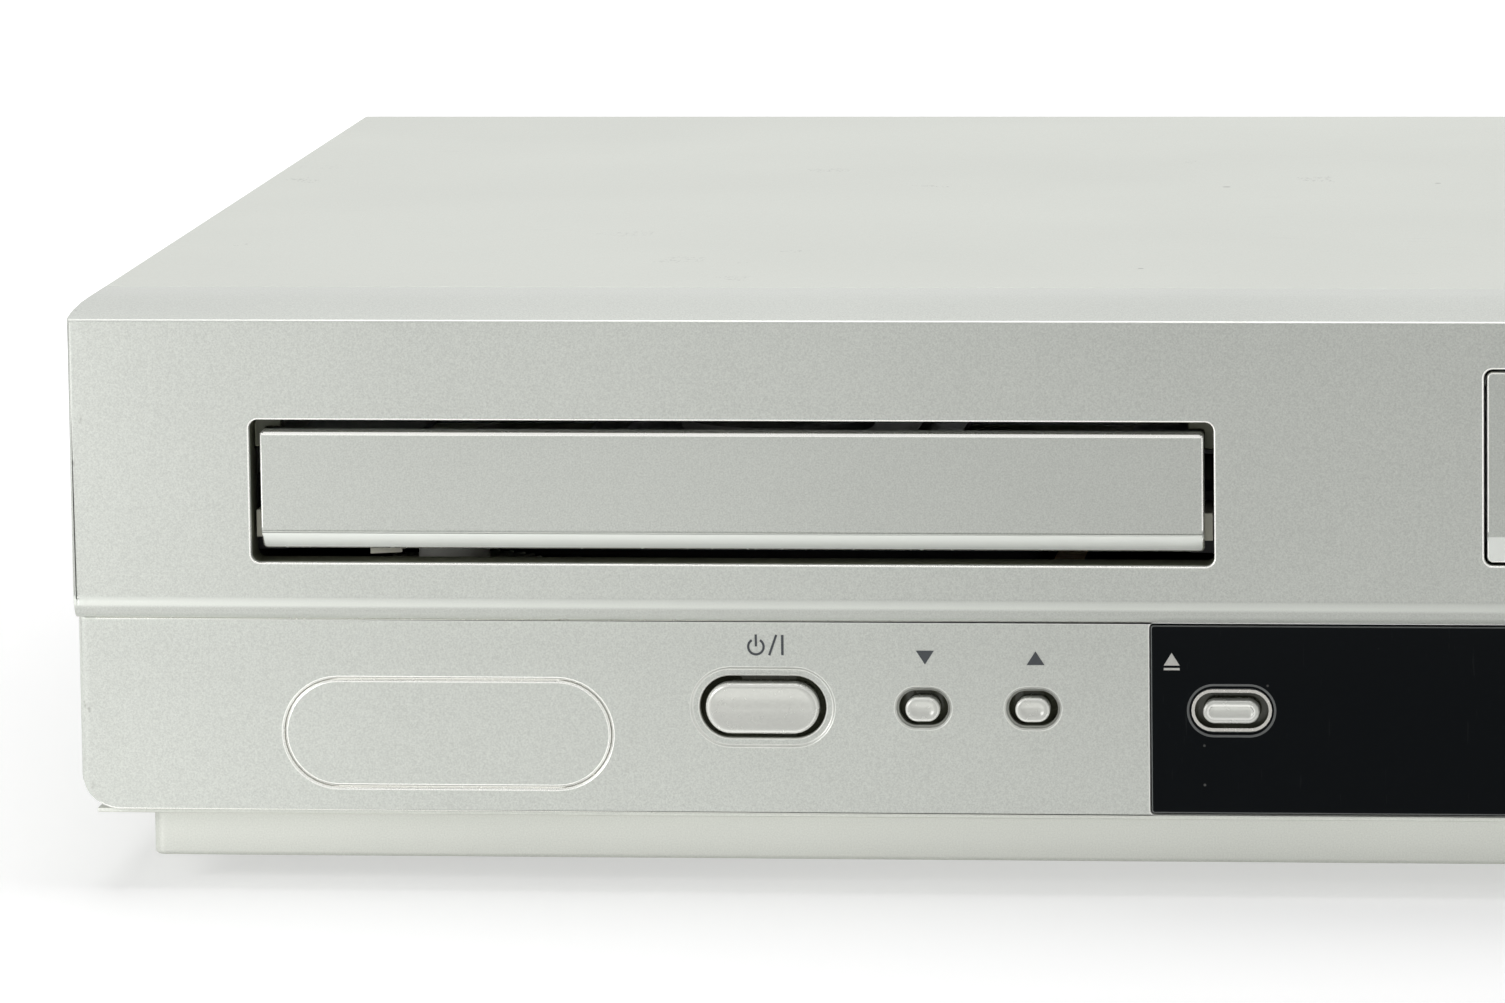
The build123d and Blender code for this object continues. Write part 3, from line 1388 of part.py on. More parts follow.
pieces = {
    "top_cover": top_cover(),
    "front_bezel": front_bezel(),
    "base_pan": base_pan(),
    "rear_panel": rear_panel(),
    "feet": feet(),
    "case_screws": case_screws(),
    "display_window": display_window(),
    "power_button": panel_key(power_x, True),
    "programme_down_button": panel_key(programme_down_x, False),
    "programme_up_button": panel_key(programme_up_x, False),
    "disc_eject_button": eject_key(disc_eject_x),
    "tape_eject_button": eject_key(tape_eject_x),
    "rewind_button": panel_key(rewind_x, False),
    "forward_button": panel_key(forward_x, False),
    "play_button": panel_key(play_x, True),
    "stop_button": panel_key(stop_x, False),
    "record_button": panel_key(record_x, False),
    "drawer_door": drawer_door(),
    "disc_tray": disc_tray(),
    "loader_frame": loader_frame(),
    "loader_drive_gear": loader_drive_gear(),
    "loader_pulley_gear": loader_pulley_gear(),
    "loader_motor": loader_motor(),
    "loader_motor_pulley": loader_motor_pulley(),
    "drive_belt": drive_belt(),
    "traverse_frame": traverse_frame(),
    "spindle_motor": spindle_motor(),
    "turntable": turntable(),
    "pickup_sled": pickup_sled(),
    "guide_rods": guide_rods(),
    "lead_screw": lead_screw(),
    "sled_motor": sled_motor(),
    "clamp_bridge": clamp_bridge(),
    "clamp_puck": clamp_puck(),
    "loader_dampers": loader_dampers(),
    "disc_board": disc_board(),
    "tape_flap": tape_flap(),
    "deck_chassis": deck_chassis(),
    "carriage_guides": carriage_guides(),
    "cassette_carriage": cassette_carriage(),
    "cassette_holder": cassette_holder(),
    "supply_reel_table": reel_table(-1),
    "takeup_reel_table": reel_table(1),
    "head_drum_lower": head_drum_lower(),
    "head_drum_upper": head_drum_upper(),
    "capstan": capstan(),
    "capstan_stator": capstan_stator(),
    "pinch_arm": pinch_arm(),
    "front_board": front_board(),
    "display_tube": display_tube(),
    "front_sockets": front_sockets(),
    "power_board": power_board(),
    "main_board": main_board(),
    "scart_sockets": scart_sockets(),
    "tuner_can": tuner_can(),
    "rear_phonos": rear_phonos(),
    "mains_inlet": mains_inlet(),
}

os.makedirs("parts", exist_ok=True)
for name, shape in pieces.items():
    export_step(Pos(0, -centre_y, 0) * shape, "parts/" + name + ".step")
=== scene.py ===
"""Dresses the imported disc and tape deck: finishes, softened edges, printed marks, fixings, stage."""
import json
import math
from collections import namedtuple

import bmesh
import bpy
from bpy.props import FloatProperty, FloatVectorProperty, IntProperty, PointerProperty
from mathutils import Matrix, Vector
from mathutils.bvhtree import BVHTree
from mathutils.kdtree import KDTree

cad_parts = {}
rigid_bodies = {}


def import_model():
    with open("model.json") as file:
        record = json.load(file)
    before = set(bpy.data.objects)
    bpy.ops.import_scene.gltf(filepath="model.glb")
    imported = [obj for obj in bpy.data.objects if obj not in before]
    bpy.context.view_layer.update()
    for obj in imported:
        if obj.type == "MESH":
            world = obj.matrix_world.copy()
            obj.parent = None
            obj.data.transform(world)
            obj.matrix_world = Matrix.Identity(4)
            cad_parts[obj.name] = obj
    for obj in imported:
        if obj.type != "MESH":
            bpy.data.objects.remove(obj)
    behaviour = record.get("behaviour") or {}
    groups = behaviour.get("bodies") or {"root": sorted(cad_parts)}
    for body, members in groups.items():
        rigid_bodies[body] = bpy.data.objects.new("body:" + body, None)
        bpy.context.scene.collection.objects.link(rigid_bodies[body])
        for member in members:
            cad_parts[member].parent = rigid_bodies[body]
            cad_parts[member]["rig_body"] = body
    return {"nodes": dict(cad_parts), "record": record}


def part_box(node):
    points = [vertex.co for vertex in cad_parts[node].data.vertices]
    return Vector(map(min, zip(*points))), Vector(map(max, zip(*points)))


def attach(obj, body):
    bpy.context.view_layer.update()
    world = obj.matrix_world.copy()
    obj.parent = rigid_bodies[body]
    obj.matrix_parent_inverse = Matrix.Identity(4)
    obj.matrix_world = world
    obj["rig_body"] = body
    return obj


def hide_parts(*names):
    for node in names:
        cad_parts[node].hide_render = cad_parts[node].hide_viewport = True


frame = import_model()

bl_info = {
    "name": "Disc and tape deck",
    "version": (1, 0, 0),
    "blender": (4, 5, 0),
    "location": "View3D > Sidebar > Deck",
    "description": "Finishes, printed marks, fixings and stage for a combined disc and tape deck",
    "category": "Object",
}

MM = 0.001
SHARP = math.radians(32)
MERGE = 1e-6
RIM = "rim"
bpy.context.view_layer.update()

# Places and sizes on the deck in millimetres, but names ending in FACE are places along Y in metres
SET_BACK = 1.6
SCREW_HEAD = 1.6
FRONT_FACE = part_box("front_bezel")[0].y
PANEL_FACE = FRONT_FACE + SET_BACK * MM
REAR_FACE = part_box("case_screws")[1].y - SCREW_HEAD * MM
PLATE = FRONT_FACE / MM
HALF_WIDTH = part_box("front_bezel")[1].x / MM
FRONT_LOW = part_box("front_bezel")[0].z / MM
BEAD_LOW, BEAD_HIGH = 44.1, 47.6
CREST = 92.0
BADGE_END = -123.2
KEY_HEIGHT = sum(corner.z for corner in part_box("power_button")) / 2 / MM
MARK_HEIGHT = KEY_HEIGHT + 8.1
FRONT_SOCKETS_X = (168.0, 182.0, 196.0)
REAR_SOCKETS_X = (-44.0, -30.0, -16.0)
REAR_SOCKETS_Z = (32.0, 46.0)
EVEN = (1.0, 1.0, 1.0)


def ink(red, green, blue):
    """A colour as a picture shows it, 0 to 255, in the linear values that shaders take."""
    steps = [value / 255 for value in (red, green, blue)]
    return tuple(v / 12.92 if v <= 0.04045 else ((v + 0.055) / 1.055) ** 2.4 for v in steps)


def shade(colour, factor):
    """A colour made lighter or darker."""
    return tuple(min(channel * factor, 1.0) for channel in colour[:3])


# ---- node trees of the finishes ----
def fill(tree, socket, value):
    """Links a socket to another or to several, or gives it a constant."""
    for part in value if isinstance(value, list) else [value]:
        source = getattr(part, "socket", part)
        if isinstance(source, bpy.types.NodeSocket):
            tree.links.new(source, socket)
        else:
            socket.default_value = source


def add_node(tree, kind, settings, values, output=0):
    """Adds a node, sets it up, fills its sockets, and gives one of its outputs."""
    made = tree.nodes.new(kind)
    for name, setting in settings.items():
        setattr(made, name, setting)
    for key, value in values.items():
        fill(tree, made.inputs[key], value)
    return made.outputs[output]


class Signal:
    """A socket in a finish's nodes that takes the usual operators of a number."""

    def __init__(self, finish, socket):
        self.finish = finish
        self.socket = socket

    def __add__(self, other):
        return self.finish.maths("ADD", self, other)

    def __sub__(self, other):
        return self.finish.maths("SUBTRACT", self, other)

    def __rsub__(self, other):
        return self.finish.maths("SUBTRACT", other, self)

    def __mul__(self, other):
        return self.finish.maths("MULTIPLY", self, other)

    def __gt__(self, other):
        return self.finish.maths("GREATER_THAN", self, other)

    def __lt__(self, other):
        return self.finish.maths("LESS_THAN", self, other)

    def __abs__(self):
        return self.finish.maths("ABSOLUTE", self)

    __radd__ = __add__
    __rmul__ = __mul__

    def fade(self, start, end):
        """0 at start and 1 at end, smooth between them."""
        return self.finish.node("ShaderNodeMapRange", {"interpolation_type": "SMOOTHSTEP"},
                                {0: self, 1: start, 2: end, 3: 0.0, 4: 1.0})


class Finish:
    """A material with one shader and the nodes that vary it, in millimetres."""

    def __init__(self, name, colour, roughness, metallic=0.0, coat=0.0):
        self.material = bpy.data.materials.new(name)
        self.material.use_nodes = True
        self.tree = self.material.node_tree
        self.shader = next(n for n in self.tree.nodes if n.type == "BSDF_PRINCIPLED")
        self.set(0, (*colour[:3], 1.0))
        self.set("Roughness", roughness)
        self.set("Metallic", metallic)
        self.set("Coat Weight", coat)
        place = self.node("ShaderNodeTexCoord", {}, {}, "Object")
        self.place = self.node("ShaderNodeVectorMath", {"operation": "MULTIPLY"},
                               {0: place, 1: (1 / MM, 1 / MM, 1 / MM)})
        split = self.node("ShaderNodeSeparateXYZ", {}, {0: self.place})
        self.x, self.y, self.z = [Signal(self, split.socket.node.outputs[i]) for i in range(3)]

    def node(self, kind, settings, values, output=0):
        """One output of a new node."""
        return Signal(self, add_node(self.tree, kind, settings, values, output))

    def set(self, name, value):
        """Fills one of the shader's own sockets."""
        fill(self.tree, self.shader.inputs[name], value)

    def maths(self, operation, *values):
        """Adds one Math node."""
        return self.node("ShaderNodeMath", {"operation": operation}, dict(enumerate(values)))

    def noise(self, scale, detail, stretch=EVEN):
        """Soft noise from 0 to 1, with scale in features per millimetre."""
        where = self.node("ShaderNodeVectorMath", {"operation": "MULTIPLY"},
                          {0: self.place, 1: stretch})
        return self.node("ShaderNodeTexNoise", {},
                         {"Vector": where, "Scale": scale, "Detail": detail, "Roughness": 0.55})

    def flakes(self, scale):
        """A random number from 0 to 1 for each small cell."""
        cells = self.node("ShaderNodeTexVoronoi", {}, {"Vector": self.place, "Scale": scale}, "Color")
        return self.node("ShaderNodeSeparateColor", {}, {0: cells})

    def mix(self, factor, first, second):
        """A colour between two others."""
        pair = [value if isinstance(value, Signal) else (*value[:3], 1.0) for value in (first, second)]
        return self.node("ShaderNodeMix", {"data_type": "RGBA", "clamp_factor": True},
                         {0: factor, 6: pair[0], 7: pair[1]}, 2)

    def bump(self, height, depth, strength):
        """Gives the shader a relief whose depth is in millimetres."""
        self.set("Normal", self.node("ShaderNodeBump", {},
                                     {"Strength": strength, "Distance": depth * MM, "Height": height}))

    def between(self, value, low, high, soft=0.4):
        """1 where a value lies between two others and 0 outside, with a soft border."""
        return value.fade(low - soft, low + soft) * (1 - value.fade(high - soft, high + soft))

    def dots(self, scale, radius):
        """1 in a round dot in the middle of each small cell, with the radius in millimetres."""
        away = self.node("ShaderNodeTexVoronoi", {}, {"Vector": self.place, "Scale": scale}, "Distance")
        return 1 - away.fade(radius * scale * 0.6, radius * scale)

    def rims(self):
        """1 on rounded edges, a little less on those of the caps, and 0 elsewhere."""
        return self.node("ShaderNodeAttribute", {"attribute_name": RIM}, {}, "Fac")

    def spot(self, x, y, z, radius):
        """1 inside a soft ball and 0 outside it."""
        away = self.node("ShaderNodeVectorMath", {"operation": "DISTANCE"},
                         {0: self.place, 1: (x, y, z)}, "Value")
        return 1 - away.fade(radius * 0.6, radius)


def lacquer(name, colour, speckle, roughness, metallic):
    """A lacquer and its base tone: fine light and dark grains in a slightly uneven colour."""
    paint = Finish(name, colour, roughness, metallic)
    grain = paint.noise(4.0, 2.0)
    cloud = paint.noise(0.012, 2.0)
    level = (grain - 0.5) * speckle + (cloud - 0.5) * 0.5 + 0.5
    base = paint.mix(level, shade(colour, 0.84), shade(colour, 1.14))
    paint.set("Roughness", paint.noise(0.9, 2.0) * 0.10 + (roughness - 0.05))
    paint.bump(paint.noise(1.3, 2.0), 0.02, 0.35)
    return paint, base


# X, Y, Z and radius of the single specks and of the stain
COVER_SPECKS = ((-41.0, 20.0, 94.2, 0.9), (-4.0, 26.0, 94.2, 0.7), (-48.0, -98.0, 94.2, 0.6))
PAN_STAIN = (-198.0, PLATE + 4.6, 10.6, 1.5)
SILVER = {"speckle": 1.9, "roughness": 0.42, "metallic": 0.12}


def cover_paint(colours):
    """The cover's smoother paint, with the specks and faint rubs of use on its top, and a painted
    highlight on its rounded edges.
    """
    paint, base = lacquer("cover_paint", colours.cover, 1.0, 0.42, 0.10)
    streaks = paint.noise(0.35, 3.0, (0.25, 1.6, 1.0)).fade(0.64, 0.74)
    rub = streaks * paint.noise(0.02, 1.0).fade(0.5, 0.62)
    tone = paint.mix(rub * 0.28, base, shade(colours.cover, 0.7))
    dirt = paint.flakes(0.16).fade(0.993, 1.0) * paint.noise(1.4, 2.0).fade(0.56, 0.64)
    for place in COVER_SPECKS:
        dirt = paint.maths("MAXIMUM", dirt, paint.spot(*place))
    tone = paint.mix(dirt * 0.5, tone, ink(70, 70, 66))
    # painted highlight: the rounded edges are made lighter
    paint.set(0, paint.mix(paint.rims() * 0.5, tone, shade(colours.cover, 1.15)))
    return paint


def bright_rims(paint, tone, rim):
    """The silver lacquer's colour with a painted highlight on rounded edges, which are also made
    glossier.
    """
    paint.set("Roughness", paint.noise(0.9, 2.0) * 0.10 + (SILVER["roughness"] - 0.05) - rim * 0.16)
    return paint.mix(rim, tone, ink(243, 243, 238))


def bezel_silver(colours):
    """The front's metallic lacquer, which ends on the bare olive plastic inside its openings; it
    carries painted shade under the bead and painted highlights on the bead, the line below it, the top
    edge and the rounded edges.
    """
    paint, base = lacquer("bezel_silver", colours.bezel, **SILVER)
    aside = abs(paint.x)
    depth = paint.y - PLATE
    proud = 1 - depth.fade(1.2, SET_BACK)
    left_end = 1 - abs(paint.x + (HALF_WIDTH - 1.4)).fade(0.4, 1.8)
    wear = paint.noise(0.5, 3.0).fade(0.62, 0.72) * left_end
    tone = paint.mix(wear * 0.5, base, ink(120, 118, 110))
    # painted shade: a darker strip along the lower part of the bead, where it turns under
    painted_bead_shade = paint.between(paint.z, BEAD_LOW + 0.3, BEAD_LOW + 1.8, 0.5) * proud
    tone = paint.mix(painted_bead_shade * 0.3, tone, shade(colours.bezel, 0.45))
    # painted highlight: a lighter strip along the upper part of the bead
    painted_bead_highlight = paint.between(paint.z, BEAD_HIGH - 1.4, BEAD_HIGH - 0.1, 0.3) * proud
    tone = paint.mix(painted_bead_highlight * 0.8, tone, shade(colours.bezel, 1.35))
    # painted light: a bright line on the panel just below the bead, laid over the shade there and
    # lighter towards the right
    at_panel = depth.fade(1.3, 1.5) * (1 - depth.fade(1.9, 2.1))
    painted_seam_light = paint.between(paint.z, BEAD_LOW - 0.36, BEAD_LOW + 0.1, 0.1) * at_panel
    lit = paint.mix(paint.x.fade(-190.0, 10.0), shade(colours.bezel, 1.12), shade(colours.bezel, 1.7))
    tone = paint.mix(painted_seam_light * 0.9, tone, lit)
    # painted highlight: a thin bright line along the top edge of the front
    crest_highlight = paint.between(paint.z, CREST - 0.2, CREST + 0.1, 0.12) * (1 - depth.fade(0.5, 0.9))
    at_keys = paint.x.fade(BADGE_END, BADGE_END + 1.0)
    at_keys = at_keys * (1 - paint.z.fade(BEAD_LOW - 1.1, BEAD_LOW - 0.1))
    # painted highlight on the rounded edges, left off the ends and the bead and weaker beside the keys
    rim = paint.rims() * (1 - aside.fade(HALF_WIDTH - 4.0, HALF_WIDTH - 3.0))
    rim = rim * (1 - paint.between(paint.z, BEAD_LOW + 1.1, BEAD_HIGH + 1.0)) * (1 - at_keys * 0.4)
    rim = paint.maths("MAXIMUM", rim, crest_highlight * 0.8)
    paint.set("Metallic", rim * 0.65 + SILVER["metallic"])
    lacquered = bright_rims(paint, tone, rim)
    upper = depth.fade(1.2, 1.8) * paint.between(paint.z, BEAD_HIGH + 0.2, CREST - 1.4)
    lower = depth.fade(2.2, 2.8) * paint.between(paint.z, FRONT_LOW + 1.3, BEAD_HIGH)
    bare = (upper + lower) * (1 - aside.fade(HALF_WIDTH - 2.0, HALF_WIDTH - 1.6))
    plastic = paint.mix(paint.noise(0.08, 2.0), colours.inside, shade(colours.inside, 1.25))
    paint.set(0, paint.mix(bare, lacquered, plastic))
    return paint


def door_silver(colours):
    """The doors' lacquer, with a painted highlight on the slanted lower strip and on the rounded edges.
    """
    paint, base = lacquer("door_silver", shade(colours.bezel, 0.95), **SILVER)
    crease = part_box("drawer_door")[0].z / MM + 2.8
    # painted highlight: the slanted lower strip is made lighter and a little more metallic
    painted_band_light = 1 - paint.z.fade(crease - 0.1, crease + 0.15)
    rim = paint.rims() * (1 - paint.between(paint.z, crease - 0.6, crease + 0.8, 0.1))
    paint.set(0, bright_rims(paint, paint.mix(painted_band_light, base, ink(241, 244, 239)), rim))
    paint.set("Metallic", paint.maths("MAXIMUM", rim * 0.75, painted_band_light * 0.12 + SILVER["metallic"]))
    return paint


def pan_paint(colours):
    """The pan's paint, with a small brown stain near its front left corner."""
    paint, base = lacquer("pan_paint", colours.pan, 1.0, 0.45, 0.45)
    stain = paint.spot(*PAN_STAIN) * paint.noise(1.6, 2.0).fade(0.42, 0.6)
    paint.set(0, paint.mix(stain, base, ink(150, 118, 60)))
    return paint


def key_silver(colours):
    """Pearl lacquer of the caps, glossier than the front, with painted highlights on their rounded
    rims, over the keys' dark mouldings.
    """
    paint, base = lacquer("key_silver", colours.keys, 0.5, 0.26, 0.35)
    depth = paint.y - PANEL_FACE / MM
    body = depth.fade(0.8, 1.2)
    # painted highlight: the caps' rounded rims are made lighter
    tone = paint.mix(paint.rims() * 0.8, base, ink(246, 246, 241))
    paint.set(0, paint.mix(body, tone, colours.inside))
    paint.set("Metallic", (1 - body) * 0.35)
    paint.set("Coat Weight", (1 - body) * 0.35)
    paint.set("Coat Roughness", 0.12)
    return paint


def window_black(colours):
    """Polished smoked acrylic with a few dust specks and hair scratches, and a painted highlight on its
    rounded edges.
    """
    gloss = Finish("window_black", colours.window, 0.06)
    gloss.set("Specular IOR Level", 0.05)
    dust = gloss.flakes(0.4).fade(0.93, 1.0) * gloss.dots(0.4, 0.28)
    hair = gloss.noise(0.5, 2.0, (3.0, 1.0, 0.25)).fade(0.70, 0.735)
    dusty = gloss.mix(dust * 0.5 + hair * 0.03, colours.window, ink(120, 120, 118))
    # painted highlight: the rounded edges are made lighter
    gloss.set(0, gloss.mix(gloss.rims(), dusty, ink(112, 114, 114)))
    gloss.set("Roughness", gloss.noise(0.4, 2.0) * 0.05 + 0.05 + dust * 0.3)
    return gloss


def moulded(name, colour, roughness):
    """Moulded plastic: an even tone with the fine spark texture of its tool."""
    plastic = Finish(name, colour, roughness)
    cloud = plastic.noise(0.03, 2.0)
    plastic.set(0, plastic.mix(cloud, shade(colour, 0.9), shade(colour, 1.1)))
    plastic.set("Roughness", plastic.noise(0.8, 2.0) * 0.14 + (roughness - 0.07))
    plastic.bump(plastic.noise(3.0, 2.0), 0.05, 0.4)
    return plastic


def metal(name, colour, roughness, stretch=EVEN, spangle=0.0, metallic=1.0):
    """Bare or plated metal with fine drawn lines or zinc spangle."""
    steel = Finish(name, colour, roughness, metallic)
    lines = steel.noise(1.8, 2.0, stretch)
    patch = steel.flakes(0.16) * spangle + lines * (1 - spangle)
    steel.set(0, steel.mix(patch, shade(colour, 0.86), shade(colour, 1.12)))
    steel.set("Roughness", patch * 0.18 + (roughness - 0.09))
    steel.bump(lines, 0.01, 0.3)
    return steel


def board(name, colour, copper):
    """A circuit board's lacquer with its tracks and solder points."""
    base = Finish(name, colour, 0.42)
    wander = base.noise(0.09, 1.0) * 7.0
    track = abs(base.maths("FRACT", (base.x + wander) * 0.42) - 0.5) < 0.16
    cross = abs(base.maths("FRACT", (base.y - wander) * 0.36) - 0.5) < 0.14
    choose = base.noise(0.05, 0.0) > 0.5
    run = track * choose + cross * (1 - choose)
    solder = base.flakes(0.35).fade(0.90, 0.93)
    tone = base.mix(run * 0.7, colour, copper)
    base.set(0, base.mix(solder * 0.7, tone, ink(170, 170, 168)))
    base.set("Metallic", solder * 0.6)
    base.bump(run, 0.04, 0.5)
    return base


def rubber(name, colour, roughness):
    """Matt rubber with a dusty bloom."""
    soft = Finish(name, colour, roughness)
    bloom = soft.noise(0.5, 3.0).fade(0.45, 0.8)
    soft.set(0, soft.mix(bloom * 0.4, colour, shade(colour, 2.4)))
    soft.bump(soft.noise(2.0, 2.0), 0.05, 0.4)
    return soft


def tube_glass():
    """The dark glass of the display tube over its phosphor segments."""
    dark = ink(34, 40, 42)
    glass = Finish("tube_glass", dark, 0.08, 0.0, 0.5)
    middle = sum(corner.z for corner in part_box("display_tube")) / 2 / MM
    segment = abs(glass.maths("FRACT", glass.x * 0.16) - 0.5) < 0.30
    row = abs(glass.z - middle) < 4.0
    glass.set(0, glass.mix(segment * row * 0.5, dark, ink(104, 116, 112)))
    return glass


def ring_plastic():
    """Socket rings in yellow for the picture and white and red for the sound, by their place."""
    plastic = Finish("ring_plastic", ink(206, 204, 196), 0.4)

    def around(places):
        """1 around these places from left to right."""
        return sum(1 - abs(plastic.x - x).fade(6.0, 6.4) for x in places)

    yellow = around((FRONT_SOCKETS_X[0], REAR_SOCKETS_X[0]))
    red = around((FRONT_SOCKETS_X[-1], REAR_SOCKETS_X[-1]))
    white = plastic.mix(plastic.noise(1.2, 2.0), ink(212, 210, 202), ink(196, 194, 186))
    plastic.set(0, plastic.mix(red, plastic.mix(yellow, white, ink(214, 176, 42)), ink(168, 42, 36)))
    return plastic


def printed(name, colour):
    """Screen-printed ink, slightly uneven."""
    print_ink = Finish(name, colour, 0.5)
    print_ink.set(0, print_ink.mix(print_ink.noise(2.0, 2.0), shade(colour, 0.85), shade(colour, 1.15)))
    return print_ink


# ---- settings that a user would change ----
def tint(name, description, red, green, blue):
    """A colour setting."""
    return FloatVectorProperty(name=name, description=description, subtype="COLOR", size=3, min=0.0,
                               max=1.0, default=ink(red, green, blue))


def length(name, description, metres):
    """A length setting."""
    return FloatProperty(name=name, description=description, default=metres, min=0.0, unit="LENGTH")


def power(name, description, watts):
    """A lamp's power setting."""
    return FloatProperty(name=name, description=description, default=watts, min=0.0, unit="POWER")


class DeckColours(bpy.types.PropertyGroup):
    """Colours of the deck's main finishes."""

    cover: tint("Cover", "Paint of the folded top cover", 214, 217, 209)
    bezel: tint("Front", "Lacquer of the front and the drawer door", 209, 212, 206)
    pan: tint("Pan", "Paint of the pan under the front", 220, 222, 215)
    keys: tint("Keys", "Pearl lacquer of the keys", 204, 205, 199)
    window: tint("Window", "Acrylic over the display", 9, 13, 16)
    dark_marks: tint("Dark marks", "Ink of the marks on the silver", 62, 66, 70)
    light_marks: tint("Light marks", "Ink of the marks on the window", 200, 199, 194)
    tray: tint("Tray", "Plastic of the disc tray", 222, 220, 206)
    inside: tint("Inside", "Bare plastic inside the openings and of the keys' bodies", 92, 94, 78)
    floor: tint("Floor", "Floor of the stage", 244, 244, 242)


class DeckSizes(bpy.types.PropertyGroup):
    """Sizes of what is added to the deck."""

    edge: length("Edge", "Rounding of the moulded edges", 0.00028)
    sheet_edge: length("Sheet edge", "Rounding of the sheet metal's edges", 0.0002)
    edge_steps: IntProperty(name="Edge steps", description="Facets across a rounded edge", default=2,
                            min=1, max=4)
    mark_thickness: length("Ink thickness", "Thickness of the printed marks", 0.00006)
    mark_stroke: length("Stroke", "Width of the drawn lines of the marks", 0.00036)
    screw_radius: length("Screw radius", "Radius of the case screws' heads", 0.0032)
    screw_height: length("Screw height", "Height of the case screws' heads", 0.0016)
    recess: length("Cross recess", "Half the length of the cross in a screw's head", 0.0018)
    ring_width: length("Ring width", "Width of the coloured rings round the rear sockets", 0.0011)


class DeckStage(bpy.types.PropertyGroup):
    """Light and camera."""

    sky: FloatProperty(name="Sky", description="Strength of the even light all round", default=0.22,
                       min=0.0)
    top_lamp: power("Top lamp", "Power of the wide lamp above", 11.5)
    side_lamp: power("Side lamp", "Power of the lamp at the front left", 0.37)
    end_lamp: power("End lamp", "Power of the small lamp by the left end", 0.058)
    card: power("Card", "Power of the white card on the floor in front", 0.035)
    lens: FloatProperty(name="Lens", description="Focal length", default=201.03, min=1.0,
                        unit="CAMERA")


# ---- meshes ----
ROUNDING_TRIES = 8
SHORTEST_EDGE = 1e-5


def set_finish(piece, finish):
    """Gives an object one material in every slot."""
    if not piece.material_slots:
        piece.data.materials.append(finish.material)
    for slot in piece.material_slots:
        slot.material = finish.material


def add_piece(name, mesh, finish, body, slot):
    """Makes an object of a finished mesh that rides on a body and takes the given finish; the slot is
    not used.
    """
    piece = bpy.data.objects.new(name, mesh)
    bpy.context.scene.collection.objects.link(piece)
    set_finish(piece, finish)
    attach(piece, body)
    return piece


def mesh_from(name, shape):
    """A Blender mesh from a bmesh, which is then freed."""
    mesh = bpy.data.meshes.new(name)
    shape.to_mesh(mesh)
    shape.free()
    return mesh


def edge_samples(shape, chosen, spacing):
    """A search tree of points along the chosen edges, and the edge that each one is on."""
    places, owners = [], []
    for index in chosen:
        start, end = (corner.co for corner in shape.edges[index].verts)
        parts = max(1, math.ceil((end - start).length / spacing))
        for part in range(parts + 1):
            places.append(start.lerp(end, part / parts))
            owners.append(index)
    tree = KDTree(len(places))
    for number, place in enumerate(places):
        tree.insert(place, number)
    tree.balance()
    return tree, owners


def strays(corners, surface, tree, owners, width):
    """Edges whose rounding ran away from where it belongs, so they have to stay sharp."""
    most_off, most_away, reach = 0.75 * width, 2.4 * width, 1.7 * width
    found = set()
    for corner in corners:
        off = surface.find_nearest(corner.co)[3]
        away = tree.find(corner.co)[2]
        if off > most_off or away > most_away:
            for near in [corner] + [edge.other_vert(corner) for edge in corner.link_edges]:
                found.update(owners[number] for _, number, _ in tree.find_range(near.co, reach))
    return found


def softened(node, finish, width, steps, slot):
    """A copy of a CAD node whose sharp edges are rounded, which then stands for the node."""
    source = frame["nodes"][node]
    plain = bmesh.new()
    plain.from_mesh(source.data)
    plain.faces.layers.float.new(RIM)
    bmesh.ops.remove_doubles(plain, verts=plain.verts, dist=MERGE)
    plain.edges.ensure_lookup_table()
    surface = BVHTree.FromBMesh(plain)
    chosen = {edge.index for edge in plain.edges if len(edge.link_faces) == 2
              and edge.calc_face_angle(0.0) > SHARP and edge.calc_length() > SHORTEST_EDGE}
    for _ in range(ROUNDING_TRIES):
        shape = plain.copy()
        shape.edges.ensure_lookup_table()
        made = bmesh.ops.bevel(shape, geom=[shape.edges[index] for index in sorted(chosen)],
                               offset=width, offset_type="OFFSET", segments=steps,
                               profile=0.5, affect="EDGES", clamp_overlap=False,
                               loop_slide=False, miter_outer="ARC", miter_inner="SHARP",
                               spread=width)
        rim = shape.faces.layers.float[RIM]
        for face in made["faces"]:
            face[rim] = 1.0
        tree, owners = edge_samples(plain, chosen, width)
        wild = strays(made["verts"], surface, tree, owners, width)
        if not wild:
            break
        chosen -= wild
        shape.free()
    else:
        raise RuntimeError(f"the edges of {node} can't be rounded")
    plain.free()
    piece = add_piece(node + "_dressed", mesh_from(node + "_dressed", shape), finish,
                      source["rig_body"], slot)
    even = piece.modifiers.new("shading", "WEIGHTED_NORMAL")
    even.keep_sharp = True
    for face in piece.data.polygons:
        face.use_smooth = True
    settle(piece)
    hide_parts(node)
    return piece


Cap = namedtuple("Cap", "width height crown fall hollow")
WIDE_CAP = Cap(width=18.1, height=8.1, crown=0.7, fall=0.8, hollow=0.7)
SMALL_CAP = Cap(width=5.5, height=3.9, crown=0.5, fall=0.15, hollow=0.35)
WIDE_KEY = 15.0
CAP_PROUD, CAP_RIM, CAP_FOOT = 1.4, 0.8, 0.3
# strips of a cap's rounding that take the painted highlight, and how strongly
CAP_STRIPS, CAP_GLINT = range(2, 6), 0.7


def bridge(shape, near, far):
    """Adds the faces between two rings of corners."""
    quads = zip(near, near[1:] + near[:1], far[1:] + far[:1], far)
    return [shape.faces.new(corners) for corners in quads]


